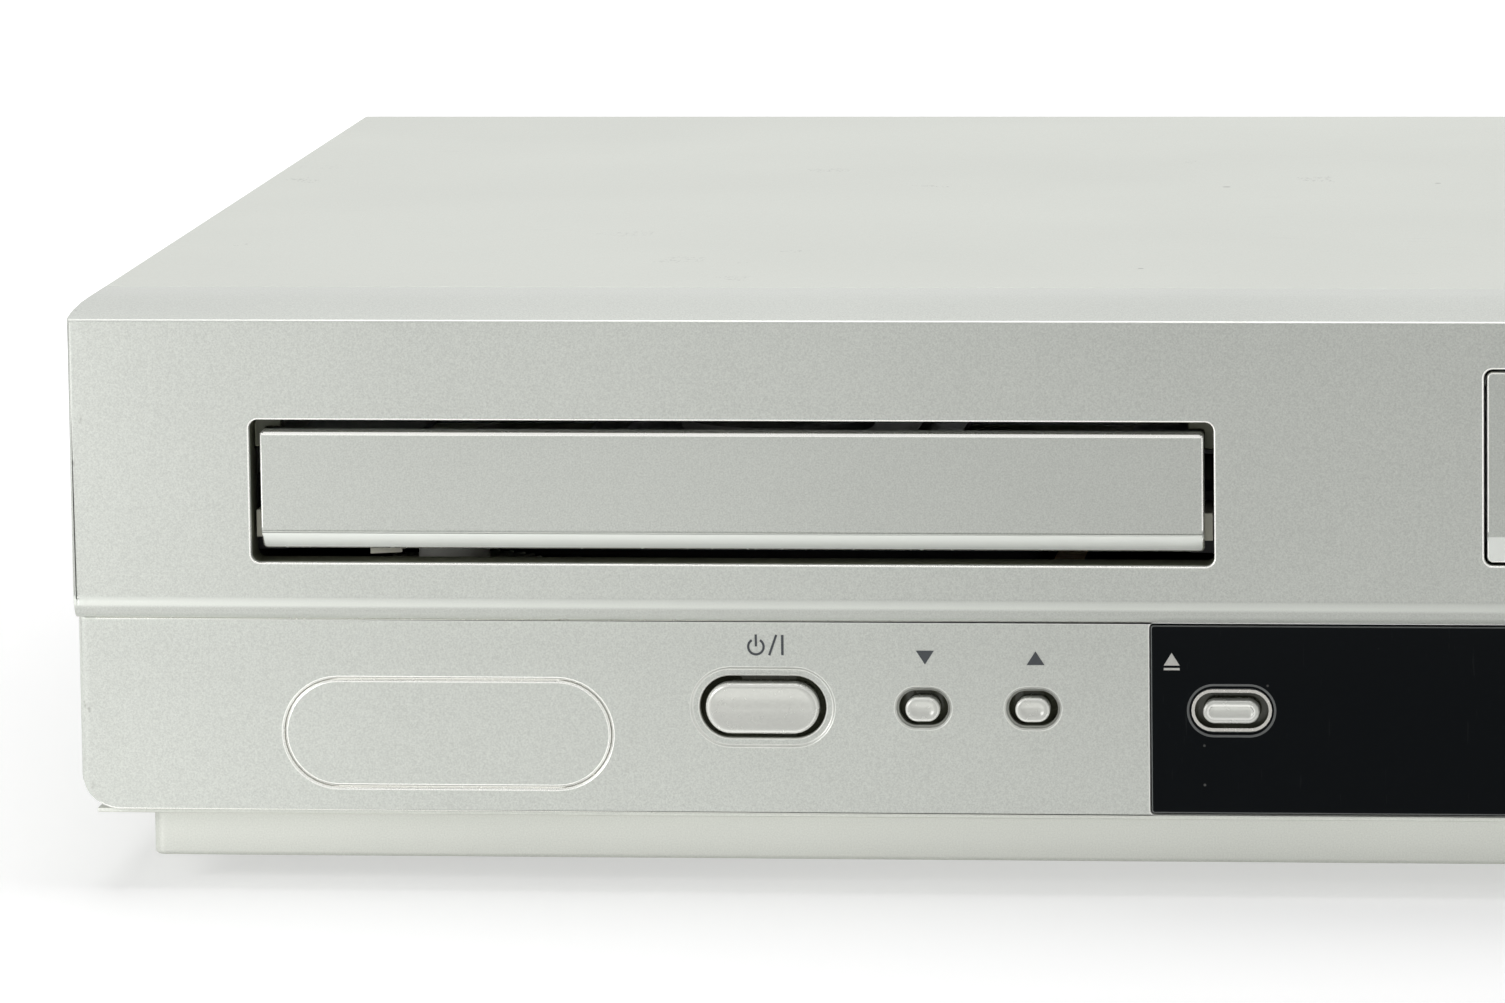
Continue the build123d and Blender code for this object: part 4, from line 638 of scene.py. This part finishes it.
def cap_section(cap, front, back):
    """Insets and depths from a cap's foot over its rounded rim into the hollow for the finger."""
    section = [(0.0, back)]
    for step in range(7):
        turn = math.radians(15 * step)
        section.append((cap.crown * (1 - math.cos(turn)), front + cap.crown * (1 - math.sin(turn))))
    reach = cap.height / 2 - CAP_RIM
    for step in range(8):
        share = 1 - step / 7.5
        section.append((cap.height / 2 - reach * share, front + cap.hollow * (1 - share * share)))
    return section


def capped(node, finish, slot):
    """A key with its cap: a bar with a rounded rim, a hollow for the finger and ends that fall back."""
    low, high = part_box(node)
    cap = WIDE_CAP if (high.x - low.x) / MM > WIDE_KEY else SMALL_CAP
    centre = (low + high) / 2 / MM
    front, back = PANEL_FACE / MM - CAP_PROUD, low.y / MM + CAP_FOOT
    shape = bmesh.new()
    shape.from_mesh(frame["nodes"][node].data)
    layer = shape.faces.layers.float.new(RIM)
    bmesh.ops.remove_doubles(shape, verts=shape.verts, dist=MERGE)
    rings = []
    for inset, y in cap_section(cap, front, back):
        ring = []
        for x, z in round_bar(centre.x, centre.z, cap.width - 2 * inset, cap.height - 2 * inset, 20):
            end = max(0.0, abs(x - centre.x) - cap.width / 4) / (cap.width / 4)
            fall = cap.fall * end ** 2 if y < back else 0.0
            ring.append(shape.verts.new((x * MM, (y + fall) * MM, z * MM)))
        rings.append(ring)
    made = []
    for number, (outer, inner) in enumerate(zip(rings, rings[1:])):
        for face in bridge(shape, outer, inner):
            face[layer] = CAP_GLINT if number in CAP_STRIPS else 0.0
            made.append(face)
    made += [shape.faces.new(rings[-1]), shape.faces.new(rings[0])]
    bmesh.ops.recalc_face_normals(shape, faces=made)
    for face in shape.faces:
        face.smooth = True
    mesh = mesh_from(node + "_dressed", shape)
    mesh.set_sharp_from_angle(angle=SHARP)
    piece = add_piece(node + "_dressed", mesh, finish, frame["nodes"][node]["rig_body"], slot)
    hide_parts(node)
    return piece


def settle(piece):
    """Turns a piece with its modifiers into one plain mesh."""
    bpy.context.view_layer.update()
    ready = piece.evaluated_get(bpy.context.evaluated_depsgraph_get())
    mesh = bpy.data.meshes.new_from_object(ready)
    piece.modifiers.clear()
    piece.data = mesh


def prism(shape, outline, front, thickness, hole=None):
    """Adds a thin plate that faces the front; outline and hole are rings of X and Z in millimetres."""
    rings = [[[shape.verts.new((x * MM, y, z * MM)) for x, z in line]
              for y in (front, front + thickness)] for line in (outline, hole) if line]
    for near, far in rings + (list(zip(*rings)) if hole else []):
        bridge(shape, near, far)
    if not hole:
        for ring in rings[0]:
            shape.faces.new(ring)


def round_bar(x, z, width, height, steps=12):
    """The outline of a round-ended bar."""
    radius = height / 2
    reach = width / 2 - radius
    points = []
    for end in (1, -1):
        for step in range(steps + 1):
            angle = math.radians(-90 + 180 * step / steps)
            points.append((x + end * (reach + radius * math.cos(angle)),
                           z + end * radius * math.sin(angle)))
    return points


def stroke(start, end, width):
    """The outline of a straight drawn line."""
    along = Vector(end) - Vector(start)
    side = Vector((-along.y, along.x)).normalized() * width / 2
    return [tuple(Vector(start) + side), tuple(Vector(start) - side), tuple(Vector(end) - side),
            tuple(Vector(end) + side)]


def arc_stroke(x, z, radius, width, start, end):
    """The outline of a drawn part of a circle, between two angles in degrees."""
    steps = 28
    angles = [math.radians(start + (end - start) * i / steps) for i in range(steps + 1)]
    return [(x + r * math.cos(a), z + r * math.sin(a))
            for r, side in ((radius + width / 2, angles), (radius - width / 2, angles[::-1]))
            for a in side]


def triangle(x, z, width, height, heading):
    """The outline of a triangle that points up, down, left or right."""
    turn = {"right": 0, "up": 90, "left": 180, "down": 270}[heading]
    rotate = Matrix.Rotation(math.radians(turn), 2)
    corners = ((height / 2, 0.0), (-height / 2, width / 2), (-height / 2, -width / 2))
    return [tuple(rotate @ Vector(corner) + Vector((x, z))) for corner in corners]


def square(x, z, size):
    """The outline of a square."""
    half = size / 2
    return [(x - half, z - half), (x + half, z - half), (x + half, z + half), (x - half, z + half)]


def middle_x(node):
    """The middle of a node from left to right, in millimetres."""
    low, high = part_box(node)
    return (low.x + high.x) / 2 / MM


def add_marks(name, outlines, front, thickness, finish, slot):
    """One piece made of thin printed plates on the front."""
    shape = bmesh.new()
    for outline in outlines:
        prism(shape, outline, front - thickness, thickness)
    bmesh.ops.recalc_face_normals(shape, faces=shape.faces)
    bmesh.ops.triangulate(shape, faces=shape.faces)
    return add_piece(name, mesh_from(name, shape), finish, "case", slot)


# ---- what repeats, grown by geometry nodes ----
FULL_TURN = 6.28
TURN_SEED = 5
SCREW_SIZES = ("Head radius", "Head height", "Recess", "Shank radius", "Shank length")
RING_SIZES = ("Ring radius", "Ring width", "Ring height")


class Growth:
    """A geometry node tree with named inputs whose points carry a direction that faces outwards."""

    def __init__(self, name, sizes):
        self.tree = bpy.data.node_groups.new(name, "GeometryNodeTree")
        sockets = self.tree.interface
        sockets.new_socket("Geometry", in_out="OUTPUT", socket_type="NodeSocketGeometry")
        sockets.new_socket("Geometry", in_out="INPUT", socket_type="NodeSocketGeometry")
        sockets.new_socket("Finish", in_out="INPUT", socket_type="NodeSocketMaterial")
        for label in sizes:
            sockets.new_socket(label, in_out="INPUT", socket_type="NodeSocketFloat")
        self.inputs = self.tree.nodes.new("NodeGroupInput").outputs

    def node(self, kind, settings, values, output=0):
        """One output of a new node."""
        return add_node(self.tree, kind, settings, values, output)

    def vector(self, *parts):
        """A vector of three numbers or sockets."""
        return self.node("ShaderNodeCombineXYZ", {}, dict(enumerate(parts)))

    def times(self, value, factor):
        """A socket's number times a factor."""
        return self.node("ShaderNodeMath", {"operation": "MULTIPLY"}, {0: value, 1: factor})

    def shifted(self, shape, height):
        """A shape moved outwards, along its own Z."""
        return self.node("GeometryNodeTransform", {},
                         {0: shape, "Translation": self.vector(0.0, 0.0, height)})

    def finish(self, instance, random_turn):
        """Puts the instance on every point, makes it real and gives it its finish."""
        facing = self.node("GeometryNodeInputNamedAttribute", {"data_type": "FLOAT_VECTOR"},
                           {"Name": "facing"})
        turned = self.node("FunctionNodeAlignRotationToVector", {"axis": "Z"}, {"Vector": facing})
        if random_turn:
            angle = self.node("FunctionNodeRandomValue", {"data_type": "FLOAT"},
                              {2: 0.0, 3: FULL_TURN, 8: TURN_SEED}, 1)
            twist = self.node("FunctionNodeAxisAngleToRotation", {}, {0: (0.0, 0.0, 1.0), 1: angle})
            turned = self.node("FunctionNodeRotateRotation", {"rotation_space": "LOCAL"},
                               {0: turned, 1: twist})
        placed = self.node("GeometryNodeInstanceOnPoints", {}, {
            "Points": self.inputs["Geometry"], "Instance": instance, "Rotation": turned})
        real = self.node("GeometryNodeRealizeInstances", {}, {0: placed})
        done = self.node("GeometryNodeSetMaterial", {}, {0: real, "Material": self.inputs["Finish"]})
        out = self.tree.nodes.new("NodeGroupOutput")
        self.tree.links.new(done, out.inputs[0])


def screw_growth():
    """A round-headed screw with a cross recess, on its shank."""
    grow = Growth("case_screw", SCREW_SIZES)
    radius, height, recess, shank_radius, shank = [grow.inputs[name] for name in SCREW_SIZES]
    ball = grow.node("GeometryNodeMeshUVSphere", {}, {"Segments": 28, "Rings": 16, "Radius": 1.0})
    dome = grow.node("GeometryNodeTransform", {},
                     {0: ball, "Scale": grow.vector(radius, radius, height)})
    cuts = []
    for long, short in ((2.0, 0.5), (0.5, 2.0)):
        bar = grow.node("GeometryNodeMeshCube", {}, {"Size": grow.vector(
            grow.times(recess, long), grow.times(recess, short), grow.times(height, 1.1))})
        cuts.append(grow.shifted(bar, height))
    under = grow.node("GeometryNodeMeshCube", {}, {"Size": grow.vector(
        grow.times(radius, 3.0), grow.times(radius, 3.0), grow.times(height, 2.0))})
    cuts.append(grow.shifted(under, grow.times(height, -1.0)))
    head = grow.node("GeometryNodeMeshBoolean", {"operation": "DIFFERENCE"}, {0: dome, 1: cuts})
    pin = grow.node("GeometryNodeMeshCylinder", {"fill_type": "NGON"},
                    {"Vertices": 20, "Radius": shank_radius, "Depth": shank})
    pin = grow.shifted(pin, grow.times(shank, -0.48))
    whole = grow.node("GeometryNodeJoinGeometry", {}, {0: [head, pin]})
    grow.finish(whole, True)
    return grow


def ring_growth():
    """A flat moulded ring round a socket."""
    grow = Growth("socket_ring", RING_SIZES)
    radius, width, height = [grow.inputs[name] for name in RING_SIZES]
    path = grow.node("GeometryNodeCurvePrimitiveCircle", {}, {"Resolution": 36, "Radius": radius})
    section = grow.node("GeometryNodeCurvePrimitiveQuadrilateral", {}, {0: width, 1: height})
    ring = grow.node("GeometryNodeCurveToMesh", {}, {0: path, 1: section})
    grow.finish(ring, False)
    return grow


def grown(name, points, grow, finish, sizes):
    """The plain mesh that a tree makes of points, each a place and an outward direction."""
    mesh = bpy.data.meshes.new(name)
    mesh.from_pydata([place for place, _ in points], [], [])
    facing = mesh.attributes.new("facing", "FLOAT_VECTOR", "POINT")
    for item, (_, way) in zip(facing.data, points):
        item.vector = way
    holder = bpy.data.objects.new(name, mesh)
    bpy.context.scene.collection.objects.link(holder)
    growing = holder.modifiers.new("growth", "NODES")
    growing.node_group = grow.tree
    for socket in grow.tree.interface.items_tree:
        if socket.name == "Finish":
            growing[socket.identifier] = finish.material
        elif socket.name in sizes:
            growing[socket.identifier] = sizes[socket.name]
    settle(holder)
    made = holder.data
    bpy.data.objects.remove(holder)
    for face in made.polygons:
        face.use_smooth = True
    made.set_sharp_from_angle(angle=SHARP)
    return made


def screw_places():
    """The seat and the outward direction of each screw of the CAD node."""
    head = (SCREW_HEAD - 0.02) * MM
    shape = bmesh.new()
    shape.from_mesh(frame["nodes"]["case_screws"].data)
    bmesh.ops.remove_doubles(shape, verts=shape.verts, dist=MERGE)
    left, places = set(shape.verts), []
    while left:
        wave = group = {left.pop()}
        while wave:
            wave = {edge.other_vert(corner) for corner in wave for edge in corner.link_edges} & left
            left -= wave
            group = group | wave
        low = Vector([min(corner.co[i] for corner in group) for i in range(3)])
        high = Vector([max(corner.co[i] for corner in group) for i in range(3)])
        middle = (low + high) / 2
        axis = max(range(3), key=lambda i: high[i] - low[i])
        way = Vector((0.0, 0.0, 0.0))
        way[axis] = math.copysign(1.0, middle[axis])
        seat = middle.copy()
        seat[axis] = (high[axis] - head) if way[axis] > 0 else (low[axis] + head)
        places.append((seat, way))
    shape.free()
    return sorted(places, key=lambda place: tuple(place[0]))


# ---- operators ----
CASE_SHEET = {"top_cover": ("cover_paint", cover_paint), "base_pan": ("pan_paint", pan_paint)}
KEYS = ("power_button", "programme_down_button", "programme_up_button", "disc_eject_button",
        "tape_eject_button", "rewind_button", "forward_button", "play_button", "stop_button",
        "record_button")
KEY_EDGE = 0.00018
STEEL = {
    "plated_steel": (ink(176, 178, 180), 0.38, (0.2, 3.0, 1.0), 0.5),
    "dark_steel": (ink(52, 52, 54), 0.5),
    "cast_metal": (ink(168, 169, 170), 0.5),
    "polished_steel": (ink(196, 197, 198), 0.2, (0.3, 3.0, 1.0)),
    "turned_aluminium": (ink(206, 207, 208), 0.28, (0.3, 0.3, 5.0)),
}
PLASTICS = {
    "black_plastic": (ink(34, 35, 37), 0.5),
    "white_plastic": (ink(226, 226, 220), 0.42),
    "socket_plastic": (ink(30, 30, 32), 0.4),
}


def slot_of(node):
    """The record's material slot of a node."""
    return next(s["material_slot"] for s in frame["record"]["subparts"] if s["node"] == node)


class DECK_OT_case(bpy.types.Operator):
    """Paint and soften the cover, the pan and the front mouldings"""

    bl_idname = "deck.case"
    bl_label = "Case and front"

    def execute(self, context):
        colours, sizes = context.scene.deck_colours, context.scene.deck_sizes
        for node, (slot, make) in CASE_SHEET.items():
            softened(node, make(colours), sizes.sheet_edge, sizes.edge_steps, slot)
        fronts = {"front_bezel": bezel_silver(colours), "drawer_door": door_silver(colours)}
        fronts["tape_flap"] = fronts["drawer_door"]
        for node, silver in fronts.items():
            softened(node, silver, sizes.edge, sizes.edge_steps, "bezel_silver")
        softened("display_window", window_black(colours), sizes.sheet_edge, sizes.edge_steps,
                 "window_black")
        return {"FINISHED"}


class DECK_OT_keys(bpy.types.Operator):
    """Lacquer the keys"""

    bl_idname = "deck.keys"
    bl_label = "Keys"

    def execute(self, context):
        pearl = key_silver(context.scene.deck_colours)
        for node in KEYS:
            if "eject" in node:
                softened(node, pearl, KEY_EDGE, 2, "key_silver")
            else:
                capped(node, pearl, "key_silver")
        return {"FINISHED"}


class DECK_OT_works(bpy.types.Operator):
    """Give every other node its plastic, metal, rubber, glass or board"""

    bl_idname = "deck.works"
    bl_label = "Mechanism and boards"

    def execute(self, context):
        made = {name: metal(name, *values) for name, values in STEEL.items()}
        made.update({name: moulded(name, *values) for name, values in PLASTICS.items()})
        made["cream_plastic"] = moulded("cream_plastic", context.scene.deck_colours.tray, 0.45)
        made["foot_rubber"] = rubber("foot_rubber", ink(40, 40, 42), 0.8)
        made["damper_rubber"] = rubber("damper_rubber", ink(58, 58, 62), 0.75)
        made["belt_rubber"] = rubber("belt_rubber", ink(28, 28, 30), 0.6)
        made["board_green"] = board("board_green", ink(34, 92, 62), ink(52, 120, 80))
        made["board_tan"] = board("board_tan", ink(170, 132, 84), ink(196, 160, 110))
        made["tube_glass"] = tube_glass()
        for node, piece in frame["nodes"].items():
            slot = slot_of(node)
            if slot in made:
                set_finish(piece, made[slot])
        return {"FINISHED"}


class DECK_OT_marks(bpy.types.Operator):
    """Print the marks over the keys"""

    bl_idname = "deck.marks"
    bl_label = "Printed marks"

    def execute(self, context):
        colours, sizes = context.scene.deck_colours, context.scene.deck_sizes
        line = sizes.mark_stroke / MM
        height = MARK_HEIGHT
        power, middle = middle_x("power_button"), height + 1.6
        low, top = middle - 1.35, middle + 1.9
        dark = [
            arc_stroke(power - 0.95, middle, 1.23, line, 122, 418),
            stroke((power - 0.95, middle + 0.05), (power - 0.95, middle + 1.95), line),
            stroke((power + 1.15, low), (power + 2.3, top), line),
            stroke((power + 3.25, low), (power + 3.25, top), line * 1.1),
        ]
        heading = {"programme_down_button": ("down", 0.35), "programme_up_button": ("up", 0.45)}
        for node, (way, aside) in heading.items():
            dark.append(triangle(middle_x(node) + aside, height, 2.85, 2.2, way))
        for node, way in (("rewind_button", "left"), ("forward_button", "right")):
            for step in (-1.05, 1.05):
                dark.append(triangle(middle_x(node) + step, height, 2.3, 2.1, way))
        dark.append(triangle(middle_x("play_button"), height, 2.7, 2.4, "right"))
        dark.append(square(middle_x("stop_button"), height, 2.1))
        dark.append(round_bar(middle_x("record_button"), height, 2.3, 2.3))
        add_marks("dark_marks", dark, PANEL_FACE, sizes.mark_thickness,
                  printed("dark_ink", colours.dark_marks), "bezel_silver")
        light = []
        for node in ("disc_eject_button", "tape_eject_button"):
            x = middle_x(node) - 9.4
            light.append(triangle(x, height - 0.02, 2.5, 2.0, "up"))
            light.append([(x + side * 1.25, height - drop)
                          for side, drop in ((-1, 1.77), (1, 1.77), (1, 1.42), (-1, 1.42))])
        add_marks("light_marks", light, PANEL_FACE - 0.1 * MM, sizes.mark_thickness,
                  printed("light_ink", colours.light_marks), "window_black")
        return {"FINISHED"}


class DECK_OT_fixings(bpy.types.Operator):
    """Put the cross-recessed screws in the case and the coloured rings at the sockets"""

    bl_idname = "deck.fixings"
    bl_label = "Screws and socket rings"

    def execute(self, context):
        sizes = context.scene.deck_sizes
        steel = metal("screw_steel", ink(150, 152, 154), 0.32, (3.0, 3.0, 0.4), 0.2)
        values = {"Head radius": sizes.screw_radius, "Head height": sizes.screw_height,
                  "Recess": sizes.recess, "Shank radius": 0.0012, "Shank length": 0.0045}
        mesh = grown("screws_dressed", screw_places(), screw_growth(), steel, values)
        screws = add_piece("screws_dressed", mesh, steel, "case", slot_of("case_screws"))
        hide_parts("case_screws")
        plastic, growth = ring_plastic(), ring_growth()
        rows = {
            "rear_rings": ("rear_panel", REAR_FACE + 0.3 * MM, 1.0, REAR_SOCKETS_X, REAR_SOCKETS_Z,
                           0.005, sizes.ring_width),
            "front_rings": ("front_sockets", PANEL_FACE + 1.1 * MM, -1.0, FRONT_SOCKETS_X,
                            (KEY_HEIGHT,), 0.00295, 0.00045),
        }
        for name, (node, y, way, across, heights, radius, width) in rows.items():
            places = [(Vector((x * MM, y, z * MM)), Vector((0.0, way, 0.0)))
                      for x in across for z in heights]
            values = {"Ring radius": radius, "Ring width": width, "Ring height": 0.0006}
            mesh = grown(name, places, growth, plastic, values)
            add_piece(name, mesh, plastic, "case", slot_of(node))
        return {"FINISHED"}


class DECK_OT_key_rings(bpy.types.Operator):
    """Set a bright ring into the dish of each eject key"""

    bl_idname = "deck.key_rings"
    bl_label = "Eject key rings"

    def execute(self, context):
        chrome = metal("ring_metal", ink(196, 194, 188), 0.25, metallic=0.6)
        shape = bmesh.new()
        width, height, rim, z = 12.7, 6.7, 0.5, KEY_HEIGHT - 0.1
        for node in ("disc_eject_button", "tape_eject_button"):
            x = middle_x(node)
            outer = round_bar(x, z, width, height)
            inner = round_bar(x, z, width - 2 * rim, height - 2 * rim)
            prism(shape, outer, PANEL_FACE + 0.12 * MM, 0.5 * MM, inner)
        bmesh.ops.recalc_face_normals(shape, faces=shape.faces)
        add_piece("eject_key_rings", mesh_from("eject_key_rings", shape), chrome, "case", "key_silver")
        return {"FINISHED"}


LEFT_END = (-0.20, -0.15, 0.05)
LAMPS = {  # place, the point it is turned to, and width, in metres
    "top_lamp": ((0.0, 0.15, 1.3), (0.0, 0.05, 0.05), 1.2),
    "side_lamp": ((-0.42, -0.44, 0.16), LEFT_END, 0.2),
    "end_lamp": ((-0.30, -0.26, 0.08), LEFT_END, 0.05),
    "card": ((0.0, -0.174, 0.004), (0.0, -0.174, 0.1), 0.5),
}
CARD_DEPTH = 0.04
PAPER = (0.64, 0.64, 0.64, 1.0)
WHITE = (1.0, 1.0, 1.0, 1.0)
GLOW_NEAR, GLOW_MORE = 0.48, 0.6
GLOW_START, GLOW_END = 250.0, 700.0
CAMERA_PLACE = (0.04625, FRONT_FACE - 1.3003, 0.26018)
CAMERA_SHIFT = (-0.17, -0.12)
YAW, PITCH, ROLL = 0.0856, 0.1281, -0.0089


class DECK_OT_stage(bpy.types.Operator):
    """Lay the floor, light the deck and place the camera"""

    bl_idname = "deck.stage"
    bl_label = "Stage, light and camera"

    def execute(self, context):
        scene, stage = context.scene, context.scene.deck_stage
        scene.view_settings.view_transform = "Standard"
        self.make_sky(scene, stage)
        self.make_floor(context.scene.deck_colours)
        lamps = {name: add_lamp(name, *values, getattr(stage, name)) for name, values in LAMPS.items()}
        lamps["card"].data.shape = "RECTANGLE"
        lamps["card"].data.size_y = CARD_DEPTH
        add_camera(scene, stage.lens)
        return {"FINISHED"}

    def make_sky(self, scene, stage):
        """An even grey light that the camera, metal and glass see as white."""
        world = bpy.data.worlds.new("sky")
        scene.world = world
        world.use_nodes = True
        tree = world.node_tree
        light = tree.nodes["Background"]
        light.inputs[0].default_value = WHITE
        light.inputs[1].default_value = stage.sky
        seen = add_node(tree, "ShaderNodeBackground", {}, {0: WHITE, 1: 1.0})
        show_apart(tree, light.outputs[0], seen, tree.nodes["World Output"])

    def make_floor(self, colours):
        """A wide pale floor that the camera sees as nearly white, with its shadow kept."""
        shape = bmesh.new()
        bmesh.ops.create_grid(shape, x_segments=1, y_segments=1, size=30.0)
        floor = bpy.data.objects.new("floor", mesh_from("floor", shape))
        bpy.context.scene.collection.objects.link(floor)
        finish = Finish("floor", colours.floor, 0.9)
        tree = finish.tree
        paper = add_node(tree, "ShaderNodeBsdfDiffuse", {}, {0: PAPER})
        away = finish.node("ShaderNodeVectorMath", {"operation": "LENGTH"}, {0: finish.place}, "Value")
        strength = away.fade(GLOW_START, GLOW_END) * GLOW_MORE + GLOW_NEAR
        glow = add_node(tree, "ShaderNodeEmission", {}, {1: strength})
        total = add_node(tree, "ShaderNodeAddShader", {}, {0: paper, 1: glow})
        out = next(n for n in tree.nodes if n.type == "OUTPUT_MATERIAL")
        show_apart(tree, finish.shader.outputs[0], total, out)
        set_finish(floor, finish)


def seen_rays(tree):
    """1 for a ray from the camera, off something glossy, or through glass, and otherwise 0."""
    path = tree.nodes.new("ShaderNodeLightPath")
    total = path.outputs["Is Camera Ray"]
    for name in ("Is Glossy Ray", "Is Transmission Ray"):
        total = add_node(tree, "ShaderNodeMath", {"operation": "MAXIMUM"},
                         {0: total, 1: path.outputs[name]})
    return total


def show_apart(tree, lighting, seen, out):
    """Lights the scene with one shader and shows another one in its place."""
    both = add_node(tree, "ShaderNodeMixShader", {}, {0: seen_rays(tree), 1: lighting, 2: seen})
    tree.links.new(both, out.inputs[0])


def add_lamp(name, place, target, size, watts):
    """A square soft lamp turned to a point."""
    lamp = bpy.data.lights.new(name, "AREA")
    lamp.size = size
    lamp.energy = watts
    holder = bpy.data.objects.new(name, lamp)
    holder.visible_camera = False
    holder.location = place
    holder.rotation_euler = (Vector(target) - Vector(place)).to_track_quat("-Z", "Y").to_euler()
    bpy.context.scene.collection.objects.link(holder)
    return holder


def add_camera(scene, lens):
    """The camera in front of the deck, a little above it and turned a little to its left."""
    forward = Vector((-math.sin(YAW) * math.cos(PITCH), math.cos(YAW) * math.cos(PITCH),
                      -math.sin(PITCH)))
    right = Vector((math.cos(YAW), math.sin(YAW), 0.0))
    up = right.cross(forward)
    leaning_right = right * math.cos(ROLL) + up * math.sin(ROLL)
    leaning_up = up * math.cos(ROLL) - right * math.sin(ROLL)
    camera = bpy.data.objects.new("camera", bpy.data.cameras.new("camera"))
    camera.data.lens = lens
    camera.data.shift_x, camera.data.shift_y = CAMERA_SHIFT
    camera.data.clip_end = 100.0
    axes = Matrix((leaning_right, leaning_up, -forward)).transposed()
    camera.matrix_world = Matrix.Translation(CAMERA_PLACE) @ axes.to_4x4()
    scene.collection.objects.link(camera)
    scene.camera = camera


class DECK_PT_panel(bpy.types.Panel):
    """Buttons that dress the deck, and the settings they use"""

    bl_label = "Disc and tape deck"
    bl_idname = "DECK_PT_panel"
    bl_space_type = "VIEW_3D"
    bl_region_type = "UI"
    bl_category = "Deck"

    def draw(self, context):
        for step in STEPS:
            self.layout.operator(step.bl_idname)
        for group in (context.scene.deck_colours, context.scene.deck_sizes, context.scene.deck_stage):
            box = self.layout.box()
            for name in group.__annotations__:
                box.prop(group, name)


STEPS = (DECK_OT_case, DECK_OT_keys, DECK_OT_works, DECK_OT_marks, DECK_OT_fixings, DECK_OT_key_rings,
         DECK_OT_stage)
GROUPS = {"deck_colours": DeckColours, "deck_sizes": DeckSizes, "deck_stage": DeckStage}


def register():
    for group in (*GROUPS.values(), *STEPS, DECK_PT_panel):
        bpy.utils.register_class(group)
    for name, group in GROUPS.items():
        setattr(bpy.types.Scene, name, PointerProperty(type=group))


def unregister():
    for name in GROUPS:
        delattr(bpy.types.Scene, name)
    for group in (DECK_PT_panel, *reversed(STEPS), *GROUPS.values()):
        bpy.utils.unregister_class(group)


def main():
    register()
    for step in STEPS:
        category, name = step.bl_idname.split(".")
        getattr(getattr(bpy.ops, category), name)()


if __name__ == "__main__":
    main()
